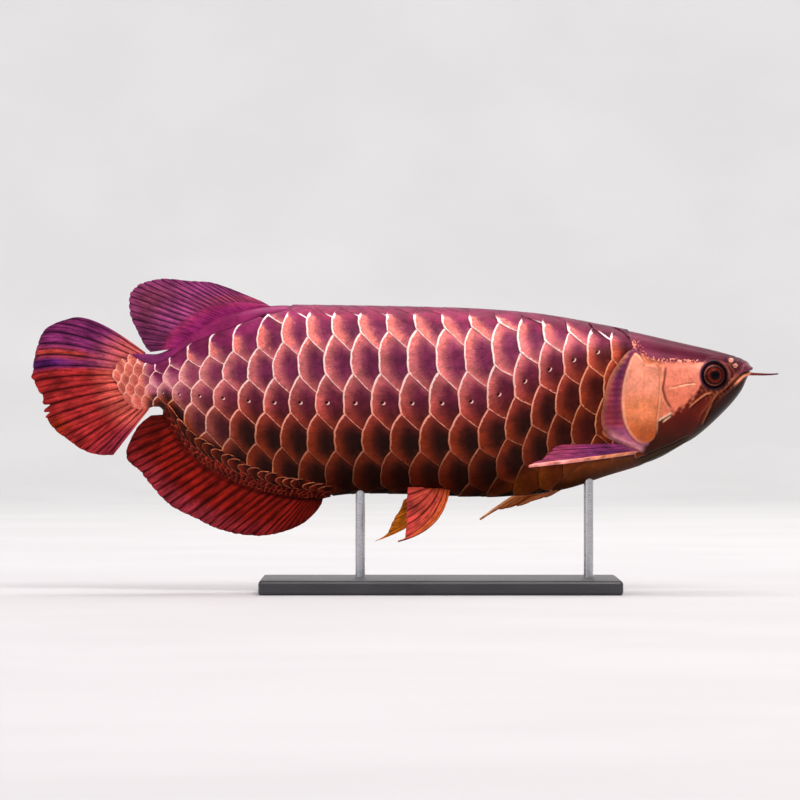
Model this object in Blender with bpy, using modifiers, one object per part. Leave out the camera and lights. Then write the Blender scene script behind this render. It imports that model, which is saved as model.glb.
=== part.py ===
"""Asian arowana: a still, life-size model held on a plain display stand.

The fish looks along +X, +Y is its left side and +Z is up. The origin lies under
the middle of the base, on the surface that the stand rests on. Sizes of the body
are written in millimetres: s is the distance behind the snout, and h the height
above the level line that runs through the middle of the body. world_point turns
them into the scene's metres.
"""
import math
from functools import lru_cache

import bmesh
import bpy
from mathutils import Vector

MM = 0.001
GAP = 0.3                     # clearance between two nodes that touch
LEVEL_HEIGHT = 160.7          # level line of the body above the floor
SNOUT_AHEAD = 260.2           # snout ahead of the base's middle

# Outline of the body seen from the side
BACK_LINE = ((0, 26.8), (0.8, 28.5), (2.5, 31), (8.4, 34.7), (26, 40.2), (61, 48.4),
             (120, 61.5), (187, 72.6), (247, 76.6), (323, 78.4), (392, 79.2), (415, 77.3),
             (440, 71.5), (462, 60.2), (488, 41.8), (499, 38.3), (516, 39.2), (524, 36.5),
             (532, 29), (536.5, 21.5))
BELLY_LINE = ((0, 25.5), (0.8, 23.4), (2.5, 20.1), (8.4, 7.5), (26, -12.9), (49, -32.6),
              (84, -51.6), (120, -63.3), (162, -75.7), (217, -80.3), (323, -77.6),
              (371, -80.8), (398, -77.2), (428, -68.6), (462, -50.2), (477, -32.3),
              (488, -14.2), (496, -4.8), (512, -8.6), (520, -4.5), (528, 5.5), (536.5, 14.5))
# Half the body's breadth, and the level at which it is widest
HALF_BREADTH = ((0, 3.5), (0.8, 7), (2.5, 9.5), (9, 14), (26, 20), (43, 23), (76, 27),
                (110, 29), (143, 30.5), (193, 32), (260, 32), (327, 30.5), (377, 27),
                (428, 20), (461, 13.5), (490, 8), (511, 5.5), (524, 4), (536.5, 1.6))
WIDEST_LEVEL = ((0, 26), (9, 24), (26, 17), (49, 12), (96, 11), (150, 14), (220, 11),
                (300, 7), (430, 7), (480, 8), (500, 15), (536.5, 18))

# The large scales: rows run along the lateral line, columns are numbered tailwards
LATERAL_LINE = ((50, 36), (109, 42.5), (151, 32.5), (192, 14.5), (212, 4.5), (234, -1),
                (258, -2.4), (400, -1.9), (441, 1.7), (478, 5), (504, 7.5), (520, 9), (537, 15))
COLUMN_PLACES = ((-4, 52), (0, 129.7), (4, 211.7), (8, 307.9), (12, 398.3), (16, 477.8),
                 (18, 503), (20, 520), (22, 534), (24, 548))
ROW_HEIGHT = ((60, 28), (100, 29), (150, 30), (300, 31.5), (370, 31), (400, 28), (440, 24.5),
              (470, 19.5), (490, 14), (505, 10), (537, 8))
SHEAR_ABOVE = 0.23
SHEAR_BELOW = 0.17
SCALE_ROWS = range(-7, 8)
SCALE_COLUMNS = range(-5, 25)
SCALE_RISE = 1.3              # height of a rim over the next scale
FULL_SIZE_ROW = 30.0          # rows lower than this have lower rims too
RIM_BULGE = 0.14
EDGE_FADE = 0.2               # share of the height that is left at back, keel and fins
EDGE_FADE_START = 0.8
FIN_ROOTS = ((104.0, -0.77), (263.0, -0.91))    # places of the paired fins on the girth
ROOT_FADE = (13.0, 26.0)
CREASES = (-0.85, 0.6, 0.8, 0.93)
CREASES_END = 465.0
LOFT_POINTS = 32              # points round a section of the head
# The pattern is drawn and trimmed flat before it is wrapped round the body
FLAT_GIRTH = 90.0
FLAT_RISE = 0.01

# Where the body is parted: a slanting cut behind the head, and an upright one
NAPE_CUT = (103.0, 70.0)
THROAT_CUT = (79.0, -60.0)
CUT_END = (70.0, -110.0)
CUT_ABOVE = 30.0              # reach of the cut's blocks above the nape
CUT_BEHIND = 90.0             # behind it
CUT_AHEAD = -20.0             # ahead of the snout
CUT_BREADTH = 70.0            # and to each side
TRUNK_START = 66.0
TAIL_CUT = 352.0
SCALED_END = 536.4


def curve_through(points):
    """Return a smooth function through (position, value) pairs that never overshoots."""
    xs = [p[0] for p in points]
    ys = [p[1] for p in points]
    steps = [b - a for a, b in zip(xs, xs[1:])]
    slopes = [(b - a) / step for a, b, step in zip(ys, ys[1:], steps)]
    tangents = [slopes[0]]
    for before, after in zip(slopes, slopes[1:]):
        if before * after <= 0:
            tangents.append(0.0)
        else:
            tangents.append(2 * before * after / (before + after))
    tangents.append(slopes[-1])

    def value(x):
        if x <= xs[0]:
            return ys[0]
        if x >= xs[-1]:
            return ys[-1]
        i = 0
        while x > xs[i + 1]:
            i += 1
        t = (x - xs[i]) / steps[i]
        rise = ys[i + 1] - ys[i]
        bend_in = tangents[i] * steps[i]
        bend_out = tangents[i + 1] * steps[i]
        return (ys[i] + bend_in * t + (3 * rise - 2 * bend_in - bend_out) * t ** 2
                + (bend_in + bend_out - 2 * rise) * t ** 3)

    return value


back_at = curve_through(BACK_LINE)
belly_at = curve_through(BELLY_LINE)
breadth_at = curve_through(HALF_BREADTH)
widest_at = curve_through(WIDEST_LEVEL)
lateral_at = curve_through(LATERAL_LINE)
column_at = curve_through(COLUMN_PLACES)
row_height_at = curve_through(ROW_HEIGHT)
# The back is broad and flat over the head, the belly is a keel behind it
back_power = curve_through(((0, 2.6), (30, 3.2), (90, 3.0), (160, 2.6), (537, 2.4)))
belly_roundness = curve_through(((0, 0.5), (30, 0.6), (90, 0.7), (160, 0.8), (537, 0.75)))
BELLY_POWER = 2.2


def world_point(s, y, h):
    """Place a point given in the body's millimetres."""
    return Vector(((SNOUT_AHEAD - s) * MM, y * MM, (LEVEL_HEIGHT + h) * MM))


def section_point(s, angle, grow=0.0):
    """Half breadth and level of the body's section at s, from keel -90 to back +90."""
    rise = math.sin(math.radians(angle))
    middle = widest_at(s)
    wide = breadth_at(s) + grow
    if rise >= 0:
        level = middle + (back_at(s) + grow - middle) * rise
        y = wide * max(0.0, 1 - rise ** back_power(s)) ** 0.5
    else:
        level = middle + (middle - belly_at(s) + grow) * rise
        y = wide * max(0.0, 1 - (-rise) ** BELLY_POWER) ** belly_roundness(s)
    return y, level


def half_breadth(s, h, grow=0.0):
    """Half the body's breadth at the level h of the section at s."""
    middle = widest_at(s)
    if h >= middle:
        rise = min(1.0, (h - middle) / (back_at(s) + grow - middle))
        return (breadth_at(s) + grow) * (1 - rise ** back_power(s)) ** 0.5
    drop = min(1.0, (middle - h) / (middle - belly_at(s) + grow))
    return (breadth_at(s) + grow) * (1 - drop ** BELLY_POWER) ** belly_roundness(s)


@lru_cache(maxsize=None)
def girth(s):
    """Arc lengths along the section at s: angles, running lengths, and the lateral line's."""
    angles = spread(-90, 90, 61)
    spots = [section_point(s, angle) for angle in angles]
    lengths = [0.0]
    for a, b in zip(spots, spots[1:]):
        lengths.append(lengths[-1] + math.dist(a, b))
    level = lateral_at(s)
    i = next(k for k in range(len(spots) - 1) if spots[k + 1][1] >= level)
    share = (level - spots[i][1]) / (spots[i + 1][1] - spots[i][1])
    return angles, lengths, lengths[i] + (lengths[i + 1] - lengths[i]) * share


def skin_point(s, p, grow=0.0):
    """Section point by girth: p runs from -1 at the keel by 0 at the lateral line to 1."""
    angles, lengths, line = girth(round(s, 3))
    target = line + p * (lengths[-1] - line if p > 0 else line)
    i = 0
    while i < len(lengths) - 2 and target > lengths[i + 1]:
        i += 1
    share = min(1.0, max(0.0, (target - lengths[i]) / (lengths[i + 1] - lengths[i])))
    return section_point(s, angles[i] + (angles[i + 1] - angles[i]) * share, grow)


def lattice_place(column, row):
    """Distance s and girth share p of a point in the pattern of scales."""
    shear = SHEAR_ABOVE if row > 0 else SHEAR_BELOW
    s = column_at(column + shear * row)
    lengths, line = girth(round(s, 3))[1:]
    side = lengths[-1] - line if row > 0 else line
    return s, row * row_height_at(s) / side


def relief_at(s, p, level):
    """Rise of the scales' rims, levels 0 to 2, less towards the back, keel and fins."""
    share = 1 - smooth_step(abs(p), EDGE_FADE_START, 1.0)
    for root_s, root_p in FIN_ROOTS:
        away = math.hypot(s - root_s, (p - root_p) * FLAT_GIRTH)
        share = min(share, smooth_step(away, *ROOT_FADE))
    size = min(1.0, row_height_at(s) / FULL_SIZE_ROW)
    return SCALE_RISE * (EDGE_FADE + (1 - EDGE_FADE) * share) * size * level / 2


def smooth_step(x, low, high):
    """Ease from 0 at low to 1 at high."""
    t = min(1.0, max(0.0, (x - low) / (high - low)))
    return t * t * (3 - 2 * t)


def side_point(s, h, side, out=0.0):
    """Point on the body's side, out millimetres clear of it; side is -1 right, +1 left."""
    return world_point(s, side * (half_breadth(s, h) + out), h)


def side_normal(s, h, side):
    """Direction out of the body's side."""
    reach = 1.0
    along = side_point(s + reach, h, side) - side_point(s - reach, h, side)
    up = side_point(s, h + reach, side) - side_point(s, h - reach, side)
    normal = along.cross(up).normalized()
    return normal if normal.y * side > 0 else -normal


def new_collection(name):
    """Add a collection to the scene."""
    collection = bpy.data.collections.new(name)
    bpy.context.scene.collection.children.link(collection)
    return collection


# The exact solver loses the thin lips and gill plates, which lie close to the skin
SOLVER = "MANIFOLD"
WELD = 0.0000012


def clear_scene():
    """Remove the objects that the file starts with."""
    for obj in list(bpy.data.objects):
        bpy.data.objects.remove(obj, do_unlink=True)


def mesh_object(name, vertices, faces):
    """Make an object from vertices and faces, with its faces turned outwards."""
    mesh = bpy.data.meshes.new(name)
    mesh.from_pydata(vertices, [], faces)
    bm = bmesh.new()
    bm.from_mesh(mesh)
    bmesh.ops.recalc_face_normals(bm, faces=bm.faces)
    bm.to_mesh(mesh)
    bm.free()
    return on_bench(name, mesh)


def on_bench(name, mesh):
    """Make an object and keep it with the parts while it is worked on."""
    obj = bpy.data.objects.new(name, mesh)
    PARTS.objects.link(obj)
    return obj


def link(obj, collection):
    """Put an object in a collection, and in no other."""
    for old in list(obj.users_collection):
        old.objects.unlink(obj)
    collection.objects.link(obj)
    return obj


def as_cutter(obj):
    """Keep an object as a guide that the model doesn't show."""
    link(obj, CUTTERS)
    obj.hide_render = True
    obj.display_type = "WIRE"
    return obj


def applied(obj):
    """Replace an object's data by its evaluated mesh."""
    bpy.context.view_layer.update()
    depsgraph = bpy.context.evaluated_depsgraph_get()
    mesh = bpy.data.meshes.new_from_object(obj.evaluated_get(depsgraph))
    obj.modifiers.clear()
    obj.data = mesh
    return obj


def boolean(obj, other, operation):
    """Cut, join or intersect an object with another."""
    modifier = obj.modifiers.new(operation.title(), "BOOLEAN")
    modifier.operation = operation
    modifier.object = other
    modifier.solver = SOLVER
    return applied(obj)


def fuse(obj, pieces):
    """Join closed pieces to an object with one union, and remove them."""
    group = new_collection(obj.name + "_pieces")
    for piece in pieces:
        link(piece, group)
    modifier = obj.modifiers.new("Union", "BOOLEAN")
    modifier.operation = "UNION"
    modifier.operand_type = "COLLECTION"
    modifier.collection = group
    modifier.solver = SOLVER
    applied(obj)
    for piece in pieces:
        bpy.data.objects.remove(piece, do_unlink=True)
    bpy.data.collections.remove(group)
    return obj


def keep_largest(obj):
    """Weld what the cuts left and keep the largest closed surface."""
    bm = bmesh.new()
    bm.from_mesh(obj.data)
    bmesh.ops.triangulate(bm, faces=bm.faces)
    bmesh.ops.remove_doubles(bm, verts=bm.verts, dist=WELD)
    drop_folded_faces(bm)
    waiting = set(bm.verts)
    islands = []
    while waiting:
        island = {waiting.pop()}
        front = list(island)
        while front:
            vertex = front.pop()
            for edge in vertex.link_edges:
                neighbour = edge.other_vert(vertex)
                if neighbour in waiting:
                    waiting.discard(neighbour)
                    island.add(neighbour)
                    front.append(neighbour)
        islands.append(island)
    islands.sort(key=reach_of, reverse=True)
    for island in islands[1:]:
        bmesh.ops.delete(bm, geom=list(island), context="VERTS")
    bm.to_mesh(obj.data)
    bm.free()
    return obj


def drop_folded_faces(bm):
    """Delete pairs of triangles that lie back to back on the same three points."""
    bm.verts.index_update()
    twins = {}
    for face in bm.faces:
        twins.setdefault(frozenset(v.index for v in face.verts), []).append(face)
    folded = [face for pair in twins.values() if len(pair) > 1 for face in pair]
    bmesh.ops.delete(bm, geom=folded, context="FACES")


def reach_of(vertices):
    """Diagonal of the box round some vertices."""
    low = Vector([min(v.co[i] for v in vertices) for i in range(3)])
    high = Vector([max(v.co[i] for v in vertices) for i in range(3)])
    return (high - low).length


def body_loft(name, stations, grow=0.0):
    """Closed loft of the body's sections at the given distances behind the snout."""
    around = LOFT_POINTS
    half = around // 2
    vertices = []
    for s in stations:
        for i in range(half + 1):
            y, level = section_point(s, -90 + 180 * i / half, grow)
            vertices.append(world_point(s, -y, level))
        for i in range(half - 1, 0, -1):
            y, level = section_point(s, -90 + 180 * i / half, grow)
            vertices.append(world_point(s, y, level))
    faces = [list(range(around)), list(range((len(stations) - 1) * around, len(vertices)))]
    for k in range(len(stations) - 1):
        low = k * around
        for i in range(around):
            j = (i + 1) % around
            faces.append((low + i, low + j, low + around + j, low + around + i))
    return mesh_object(name, vertices, faces)


def spread(first, last, count):
    """Evenly spaced values from first to last."""
    return [first + (last - first) * i / (count - 1) for i in range(count)]


def closed_curve(points, steps=2):
    """Smooth closed outline through (s, h) points."""
    count = len(points)
    outline = []
    for i in range(count):
        p0, p1, p2, p3 = (points[(i + k - 1) % count] for k in range(4))
        for step in range(steps):
            t = step / steps
            outline.append(tuple(
                0.5 * (2 * b + (c - a) * t + (2 * a - 5 * b + 4 * c - d) * t ** 2
                       + (3 * b - a - 3 * c + d) * t ** 3)
                for a, b, c, d in zip(p0, p1, p2, p3)))
    return outline


def grown(outline, distance):
    """Move each corner of a closed outline outwards."""
    count = len(outline)
    area = sum(a[0] * b[1] - b[0] * a[1]
               for a, b in zip(outline, outline[1:] + outline[:1]))
    turn = 1 if area > 0 else -1
    result = []
    for i in range(count):
        before = Vector(outline[i - 1])
        here = Vector(outline[i])
        after = Vector(outline[(i + 1) % count])
        first = (here - before).normalized()
        second = (after - here).normalized()
        out = Vector((first.y + second.y, -first.x - second.x)).normalized() * turn
        lean = max(0.4, out.dot(Vector((first.y, -first.x)) * turn))
        result.append(tuple(here + out * distance / lean))
    return result


def prism(name, outline, y_from, y_to):
    """Solid between two upright planes, over an outline of (s, h) points."""
    curve = bpy.data.curves.new(name, "CURVE")
    curve.dimensions = "2D"
    curve.fill_mode = "BOTH"
    curve.extrude = abs(y_to - y_from) / 2 * MM
    spline = curve.splines.new("POLY")
    spline.points.add(len(outline) - 1)
    spline.use_cyclic_u = True
    for point, (s, h) in zip(spline.points, outline):
        place = world_point(s, 0, h)
        point.co = (place.x, place.z, 0, 1)
    flat = bpy.data.objects.new(name, curve)
    flat.rotation_euler = (math.pi / 2, 0, 0)
    flat.location = (0, (y_from + y_to) / 2 * MM, 0)
    return curve_to_mesh(flat)


def tube(name, points, radii, resolution=2):
    """Round solid along world points, with a radius in millimetres at each."""
    curve = bpy.data.curves.new(name, "CURVE")
    curve.dimensions = "3D"
    curve.bevel_depth = MM
    curve.bevel_resolution = resolution
    curve.use_fill_caps = True
    spline = curve.splines.new("POLY")
    spline.points.add(len(points) - 1)
    for point, place, radius in zip(spline.points, points, radii):
        point.co = (*place, 1)
        point.radius = radius
    return curve_to_mesh(bpy.data.objects.new(name, curve))


def curve_to_mesh(flat):
    """Turn a curve object into a welded mesh object in world space."""
    bpy.context.scene.collection.objects.link(flat)
    bpy.context.view_layer.update()
    depsgraph = bpy.context.evaluated_depsgraph_get()
    mesh = bpy.data.meshes.new_from_object(flat.evaluated_get(depsgraph))
    mesh.transform(flat.matrix_world)
    name = flat.name
    curve = flat.data
    bpy.data.objects.remove(flat, do_unlink=True)
    bpy.data.curves.remove(curve)
    bm = bmesh.new()
    bm.from_mesh(mesh)
    bmesh.ops.remove_doubles(bm, verts=bm.verts, dist=WELD)
    bmesh.ops.recalc_face_normals(bm, faces=bm.faces)
    bm.to_mesh(mesh)
    bm.free()
    return on_bench(name, mesh)


def ball(name, centre, axis, radius, thickness, segments=16, rings=9):
    """Ellipsoid, round about an axis, with another half size along it."""
    mesh = bpy.data.meshes.new(name)
    bm = bmesh.new()
    bmesh.ops.create_uvsphere(bm, u_segments=segments, v_segments=rings, radius=1.0)
    bm.to_mesh(mesh)
    bm.free()
    turn = axis.to_track_quat("Z", "Y").to_matrix().to_4x4()
    for vertex in mesh.vertices:
        local = Vector((vertex.co.x * radius, vertex.co.y * radius, vertex.co.z * thickness))
        vertex.co = turn @ (local * MM) + centre
    return on_bench(name, mesh)


def collar(name, centre, axis, radius, thickness, segments, sides):
    """Ring round an axis, as round an eye or a nostril."""
    turn = axis.to_track_quat("Z", "Y")
    vertices = []
    faces = []
    for i in range(segments):
        a = 2 * math.pi * i / segments
        for k in range(sides):
            b = 2 * math.pi * k / sides
            reach = radius + thickness * math.cos(b)
            local = Vector((reach * math.cos(a), reach * math.sin(a), thickness * math.sin(b)))
            vertices.append(centre + turn @ local * MM)
            faces.append((i * sides + k, i * sides + (k + 1) % sides,
                          (i + 1) % segments * sides + (k + 1) % sides,
                          (i + 1) % segments * sides + k))
    return mesh_object(name, vertices, faces)


def finish(obj, colour, roughness, metallic=0.0):
    """Give a node its material and smooth shading, and put it with the parts."""
    material = bpy.data.materials.new(obj.name)
    material.use_nodes = True
    shader = material.node_tree.nodes["Principled BSDF"]
    shader.inputs["Base Color"].default_value = (*colour, 1)
    shader.inputs["Roughness"].default_value = roughness
    shader.inputs["Metallic"].default_value = metallic
    obj.data.materials.clear()
    obj.data.materials.append(material)
    obj.data.shade_smooth()
    obj.data.set_sharp_from_angle(angle=math.radians(35))
    return link(obj, PARTS)


# Gill cover: the bony plate, and the soft flap behind it
GILL_PLATE = ((98.7, 38.5), (88, 30), (78.3, 27.5), (77.8, 4), (80, -17), (81.5, -31),
              (89.9, -36), (99.5, -32), (107, -20), (109.6, -3), (107.5, 18))
GILL_FLAP = ((96, 41.5), (103, 41), (112.6, 30.5), (120.7, 16.7), (124.3, 1.2), (126.7, -15),
             (124.5, -25), (114, -32), (100, -36.5), (90, -38), (86, -33), (92, 0), (91, 28))
PLATE_RISE = 2.3
FLAP_RISE = 1.0
GILL_DEPTH = 2.5
GILL_REACH = 60.0
GILL_STATIONS = (60.0, 145.0, 12)
RECESS_START = 2.0


def gill_cover(name, side):
    """Plate and flap of one gill cover, curved as the head is."""
    stations = spread(*GILL_STATIONS)
    skin = body_loft("gill_skin", stations, PLATE_RISE)
    cover = prism(name, closed_curve(GILL_PLATE), 0, side * GILL_REACH)
    boolean(cover, skin, "INTERSECT")
    lower_skin = body_loft("flap_skin", stations, FLAP_RISE)
    flap = prism("flap", closed_curve(GILL_FLAP), 0, side * GILL_REACH)
    boolean(flap, lower_skin, "INTERSECT")
    fuse(cover, [flap])
    core = body_loft("gill_core", stations, -GILL_DEPTH)
    boolean(cover, core, "DIFFERENCE")
    for scrap in (skin, lower_skin, core):
        bpy.data.objects.remove(scrap, do_unlink=True)
    return keep_largest(cover)


def gill_recess(side):
    """Room that the gill cover takes in the head and the trunk."""
    stations = spread(*GILL_STATIONS)
    reach = (side * RECESS_START, side * GILL_REACH)
    plate = prism("recess", grown(closed_curve(GILL_PLATE), GAP), *reach)
    flap = prism("recess_flap", grown(closed_curve(GILL_FLAP), GAP), *reach)
    fuse(plate, [flap])
    core = body_loft("recess_core", stations, -GILL_DEPTH - GAP)
    boolean(plate, core, "DIFFERENCE")
    bpy.data.objects.remove(core, do_unlink=True)
    plate.name = "gill_recess_" + SIDE_NAMES[side]
    return as_cutter(keep_largest(plate))


SIDE_NAMES = {-1: "right", 1: "left"}

# Head: the mouth slants steeply down and back from the tip of the snout
HEAD_STATIONS = (0, 0.8, 2.5, 5, 8.4, 13, 19, 26, 34, 43, 53, 64, 76, 88, 100, 112)
MOUTH_LINE = ((0.4, 24.4), (3.5, 23.3), (8.4, 21.3), (15, 15), (24, 6.6), (32.6, -1.7),
              (39.5, -10.5), (44.5, -19), (48.5, -25.5))
JAW_REAR = ((54.5, -31), (60, -35), (63, -48), (63, -90))
JAW_FRONT = ((-15, -90), (-15, 25))
JAW_BREADTH = 60.0
LIP_RADIUS = 2.1
LIP_SINK = 0.5                # share of its radius that a lip is sunk in the skin
LIP_END = 0.2                 # and share of it at the corners of the mouth
UPPER_LIP_SHIFT = 1.6         # lips' middles above and below the mouth line
LOWER_LIP_SHIFT = -1.5
LOWER_LIP_RADIUS = 1.9
EYE_PLACE = (31.8, 20.5)
EYE_RADIUS = 10.5
EYE_THICKNESS = 7.0
EYE_PROUD = 2.6
ORBIT_RADIUS = 11.6
ORBIT_THICKNESS = 1.5
ORBIT_SINK = 0.4
FRONT_NOSTRIL = (15.0, 29.3)
REAR_NOSTRIL = (22.5, 33.2)
NOSTRIL_RADII = (1.5, 1.9)
NOSTRIL_DEPTH = 2.2
NOSTRIL_RIM = (1.7, 0.8)      # radius and thickness of the front nostril's rim
FOLD_SINK = 0.45
FOLD_END = 0.3
# Folds of the cheek, each a ridge with its greatest radius
CHEEK_FOLDS = (
    ("fold_below_eye", ((20, 8.5), (27, 5.2), (36, 4.6), (44, 7), (50, 12)), 1.5),
    ("fold_of_cheek", ((40, -3), (47, -0.5), (54, 1), (62, 0.5), (69, 2.5)), 1.1),
    ("gill_plate_ridge", ((74.5, 26), (73, 12), (72.5, -3), (71, -14), (66, -19)), 1.5),
    ("edge_of_upper_jaw", ((30, 6.5), (37, -2), (42, -8), (47, -15.5), (50, -22)), 1.3),
)


def eye_frame(side):
    """Centre of the eyeball and the direction in which it looks."""
    s, h = EYE_PLACE
    look = side_normal(s, h, side)
    centre = side_point(s, h, side) - look * (EYE_THICKNESS - EYE_PROUD) * MM
    return centre, look


def lip(name, shift, radius):
    """Round lip along the mouth line of both sides, shifted up (+) or down (-)."""
    path = []
    for i, (s, h) in enumerate(MOUTH_LINE):
        before = MOUTH_LINE[max(0, i - 1)]
        after = MOUTH_LINE[min(len(MOUTH_LINE) - 1, i + 1)]
        run = Vector((after[0] - before[0], after[1] - before[1])).normalized()
        path.append((max(0.5, s - run.y * shift), h + run.x * shift))
    right = [side_point(s, h, -1, -LIP_SINK * radius) for s, h in reversed(path)]
    left = [side_point(s, h, 1, -LIP_SINK * radius) for s, h in path]
    points = right + left
    count = len(points)
    radii = [radius * (LIP_END + (1 - LIP_END) * math.sin(math.pi * (i + 0.5) / count) ** 0.5)
             for i in range(count)]
    return tube(name, points, radii, 1)


def fold(name, path, radius, side):
    """Ridge of skin along a path on the head, thinning out at both ends."""
    count = len(path)
    points = [side_point(s, h, side, -FOLD_SINK * radius) for s, h in path]
    radii = [radius * (FOLD_END + (1 - FOLD_END) * math.sin(math.pi * i / (count - 1)))
             for i in range(count)]
    return tube(name, points, radii, 1)


def jaw_region(grow):
    """Prism round everything below the mouth line."""
    outline = [(0, 24.4)] + list(MOUTH_LINE[1:]) + list(JAW_REAR) + list(JAW_FRONT)
    return prism("jaw_region", grown(outline, grow) if grow else outline,
                 -JAW_BREADTH, JAW_BREADTH)


def throat_block():
    """Everything behind the slanting cut between head and trunk."""
    rear = NAPE_CUT[0] + CUT_BEHIND
    outline = [NAPE_CUT, (rear, NAPE_CUT[1]), (rear, CUT_END[1]), CUT_END, THROAT_CUT]
    return prism("throat_block", outline, -CUT_BREADTH, CUT_BREADTH)


def head_core():
    """Head and jaw in one, still without lips."""
    head = body_loft("head", HEAD_STATIONS)
    rims = []
    for side in (-1, 1):
        centre, look = eye_frame(side)
        rim_centre = side_point(*EYE_PLACE, side) - look * ORBIT_SINK * MM
        rims.append(collar("orbit", rim_centre, look, ORBIT_RADIUS, ORBIT_THICKNESS, 18, 6))
        s, h = FRONT_NOSTRIL
        normal = side_normal(s, h, side)
        rims.append(collar("nostril_rim", side_point(s, h, side), normal, *NOSTRIL_RIM, 10, 5))
        rims += [fold(word, path, radius, side) for word, path, radius in CHEEK_FOLDS]
    fuse(head, rims)
    for side in (-1, 1):
        centre, look = eye_frame(side)
        socket = ball("socket", centre, look, EYE_RADIUS + GAP, EYE_THICKNESS + GAP)
        boolean(head, as_cutter(socket), "DIFFERENCE")
        for (s, h), size in zip((FRONT_NOSTRIL, REAR_NOSTRIL), NOSTRIL_RADII):
            pit = ball("nostril", side_point(s, h, side), side_normal(s, h, side), size,
                       NOSTRIL_DEPTH, 10, 6)
            boolean(head, as_cutter(pit), "DIFFERENCE")
    return head


def make_head(recesses):
    """Head without the lower jaw, with its upper lip, orbits and nostrils."""
    head = head_core()
    fuse(head, [lip("upper_lip", UPPER_LIP_SHIFT, LIP_RADIUS)])
    boolean(head, as_cutter(jaw_region(GAP)), "DIFFERENCE")
    boolean(head, as_cutter(throat_block()), "DIFFERENCE")
    for recess in recesses:
        boolean(head, recess, "DIFFERENCE")
    return keep_largest(head)


def make_jaw():
    """Lower jaw with its lip."""
    jaw = body_loft("lower_jaw", HEAD_STATIONS)
    fuse(jaw, [lip("lower_lip", LOWER_LIP_SHIFT, LOWER_LIP_RADIUS)])
    boolean(jaw, as_cutter(jaw_region(0)), "INTERSECT")
    return keep_largest(jaw)


BARBEL_ROOT = (2.6, 22.0, 4.2)
BARBEL_LENGTH = 25.0
BARBEL_SUNK = 4.0             # length cut away where it meets the lip
BARBEL_RADIUS = 1.3
BARBEL_TAPER = 0.6
BARBEL_SPREAD = 5.0
BARBEL_SAG = 1.2
BARBEL_LIFT = 1.0             # of the tip


def barbel(side):
    """Feeler at the tip of the lower jaw, reaching forwards."""
    s, h, y = BARBEL_ROOT
    points = []
    radii = []
    for i in range(11):
        t = i / 10
        reach = -BARBEL_SUNK + (BARBEL_LENGTH + BARBEL_SUNK) * t
        points.append(world_point(s - reach, side * (y + BARBEL_SPREAD * t ** 1.5),
                                  h - BARBEL_SAG * t + BARBEL_LIFT * t ** 3))
        radii.append(BARBEL_RADIUS * (1 - BARBEL_TAPER * t))
    feeler = tube("barbel_" + SIDE_NAMES[side], points, radii)
    lip_seat = fuse(body_loft("lip_seat", HEAD_STATIONS, GAP),
                    [lip("lip_seat_edge", LOWER_LIP_SHIFT, LOWER_LIP_RADIUS + GAP),
                     lip("lip_seat_top", UPPER_LIP_SHIFT, LIP_RADIUS + GAP)])
    boolean(feeler, as_cutter(lip_seat), "DIFFERENCE")
    return keep_largest(feeler)


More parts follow.
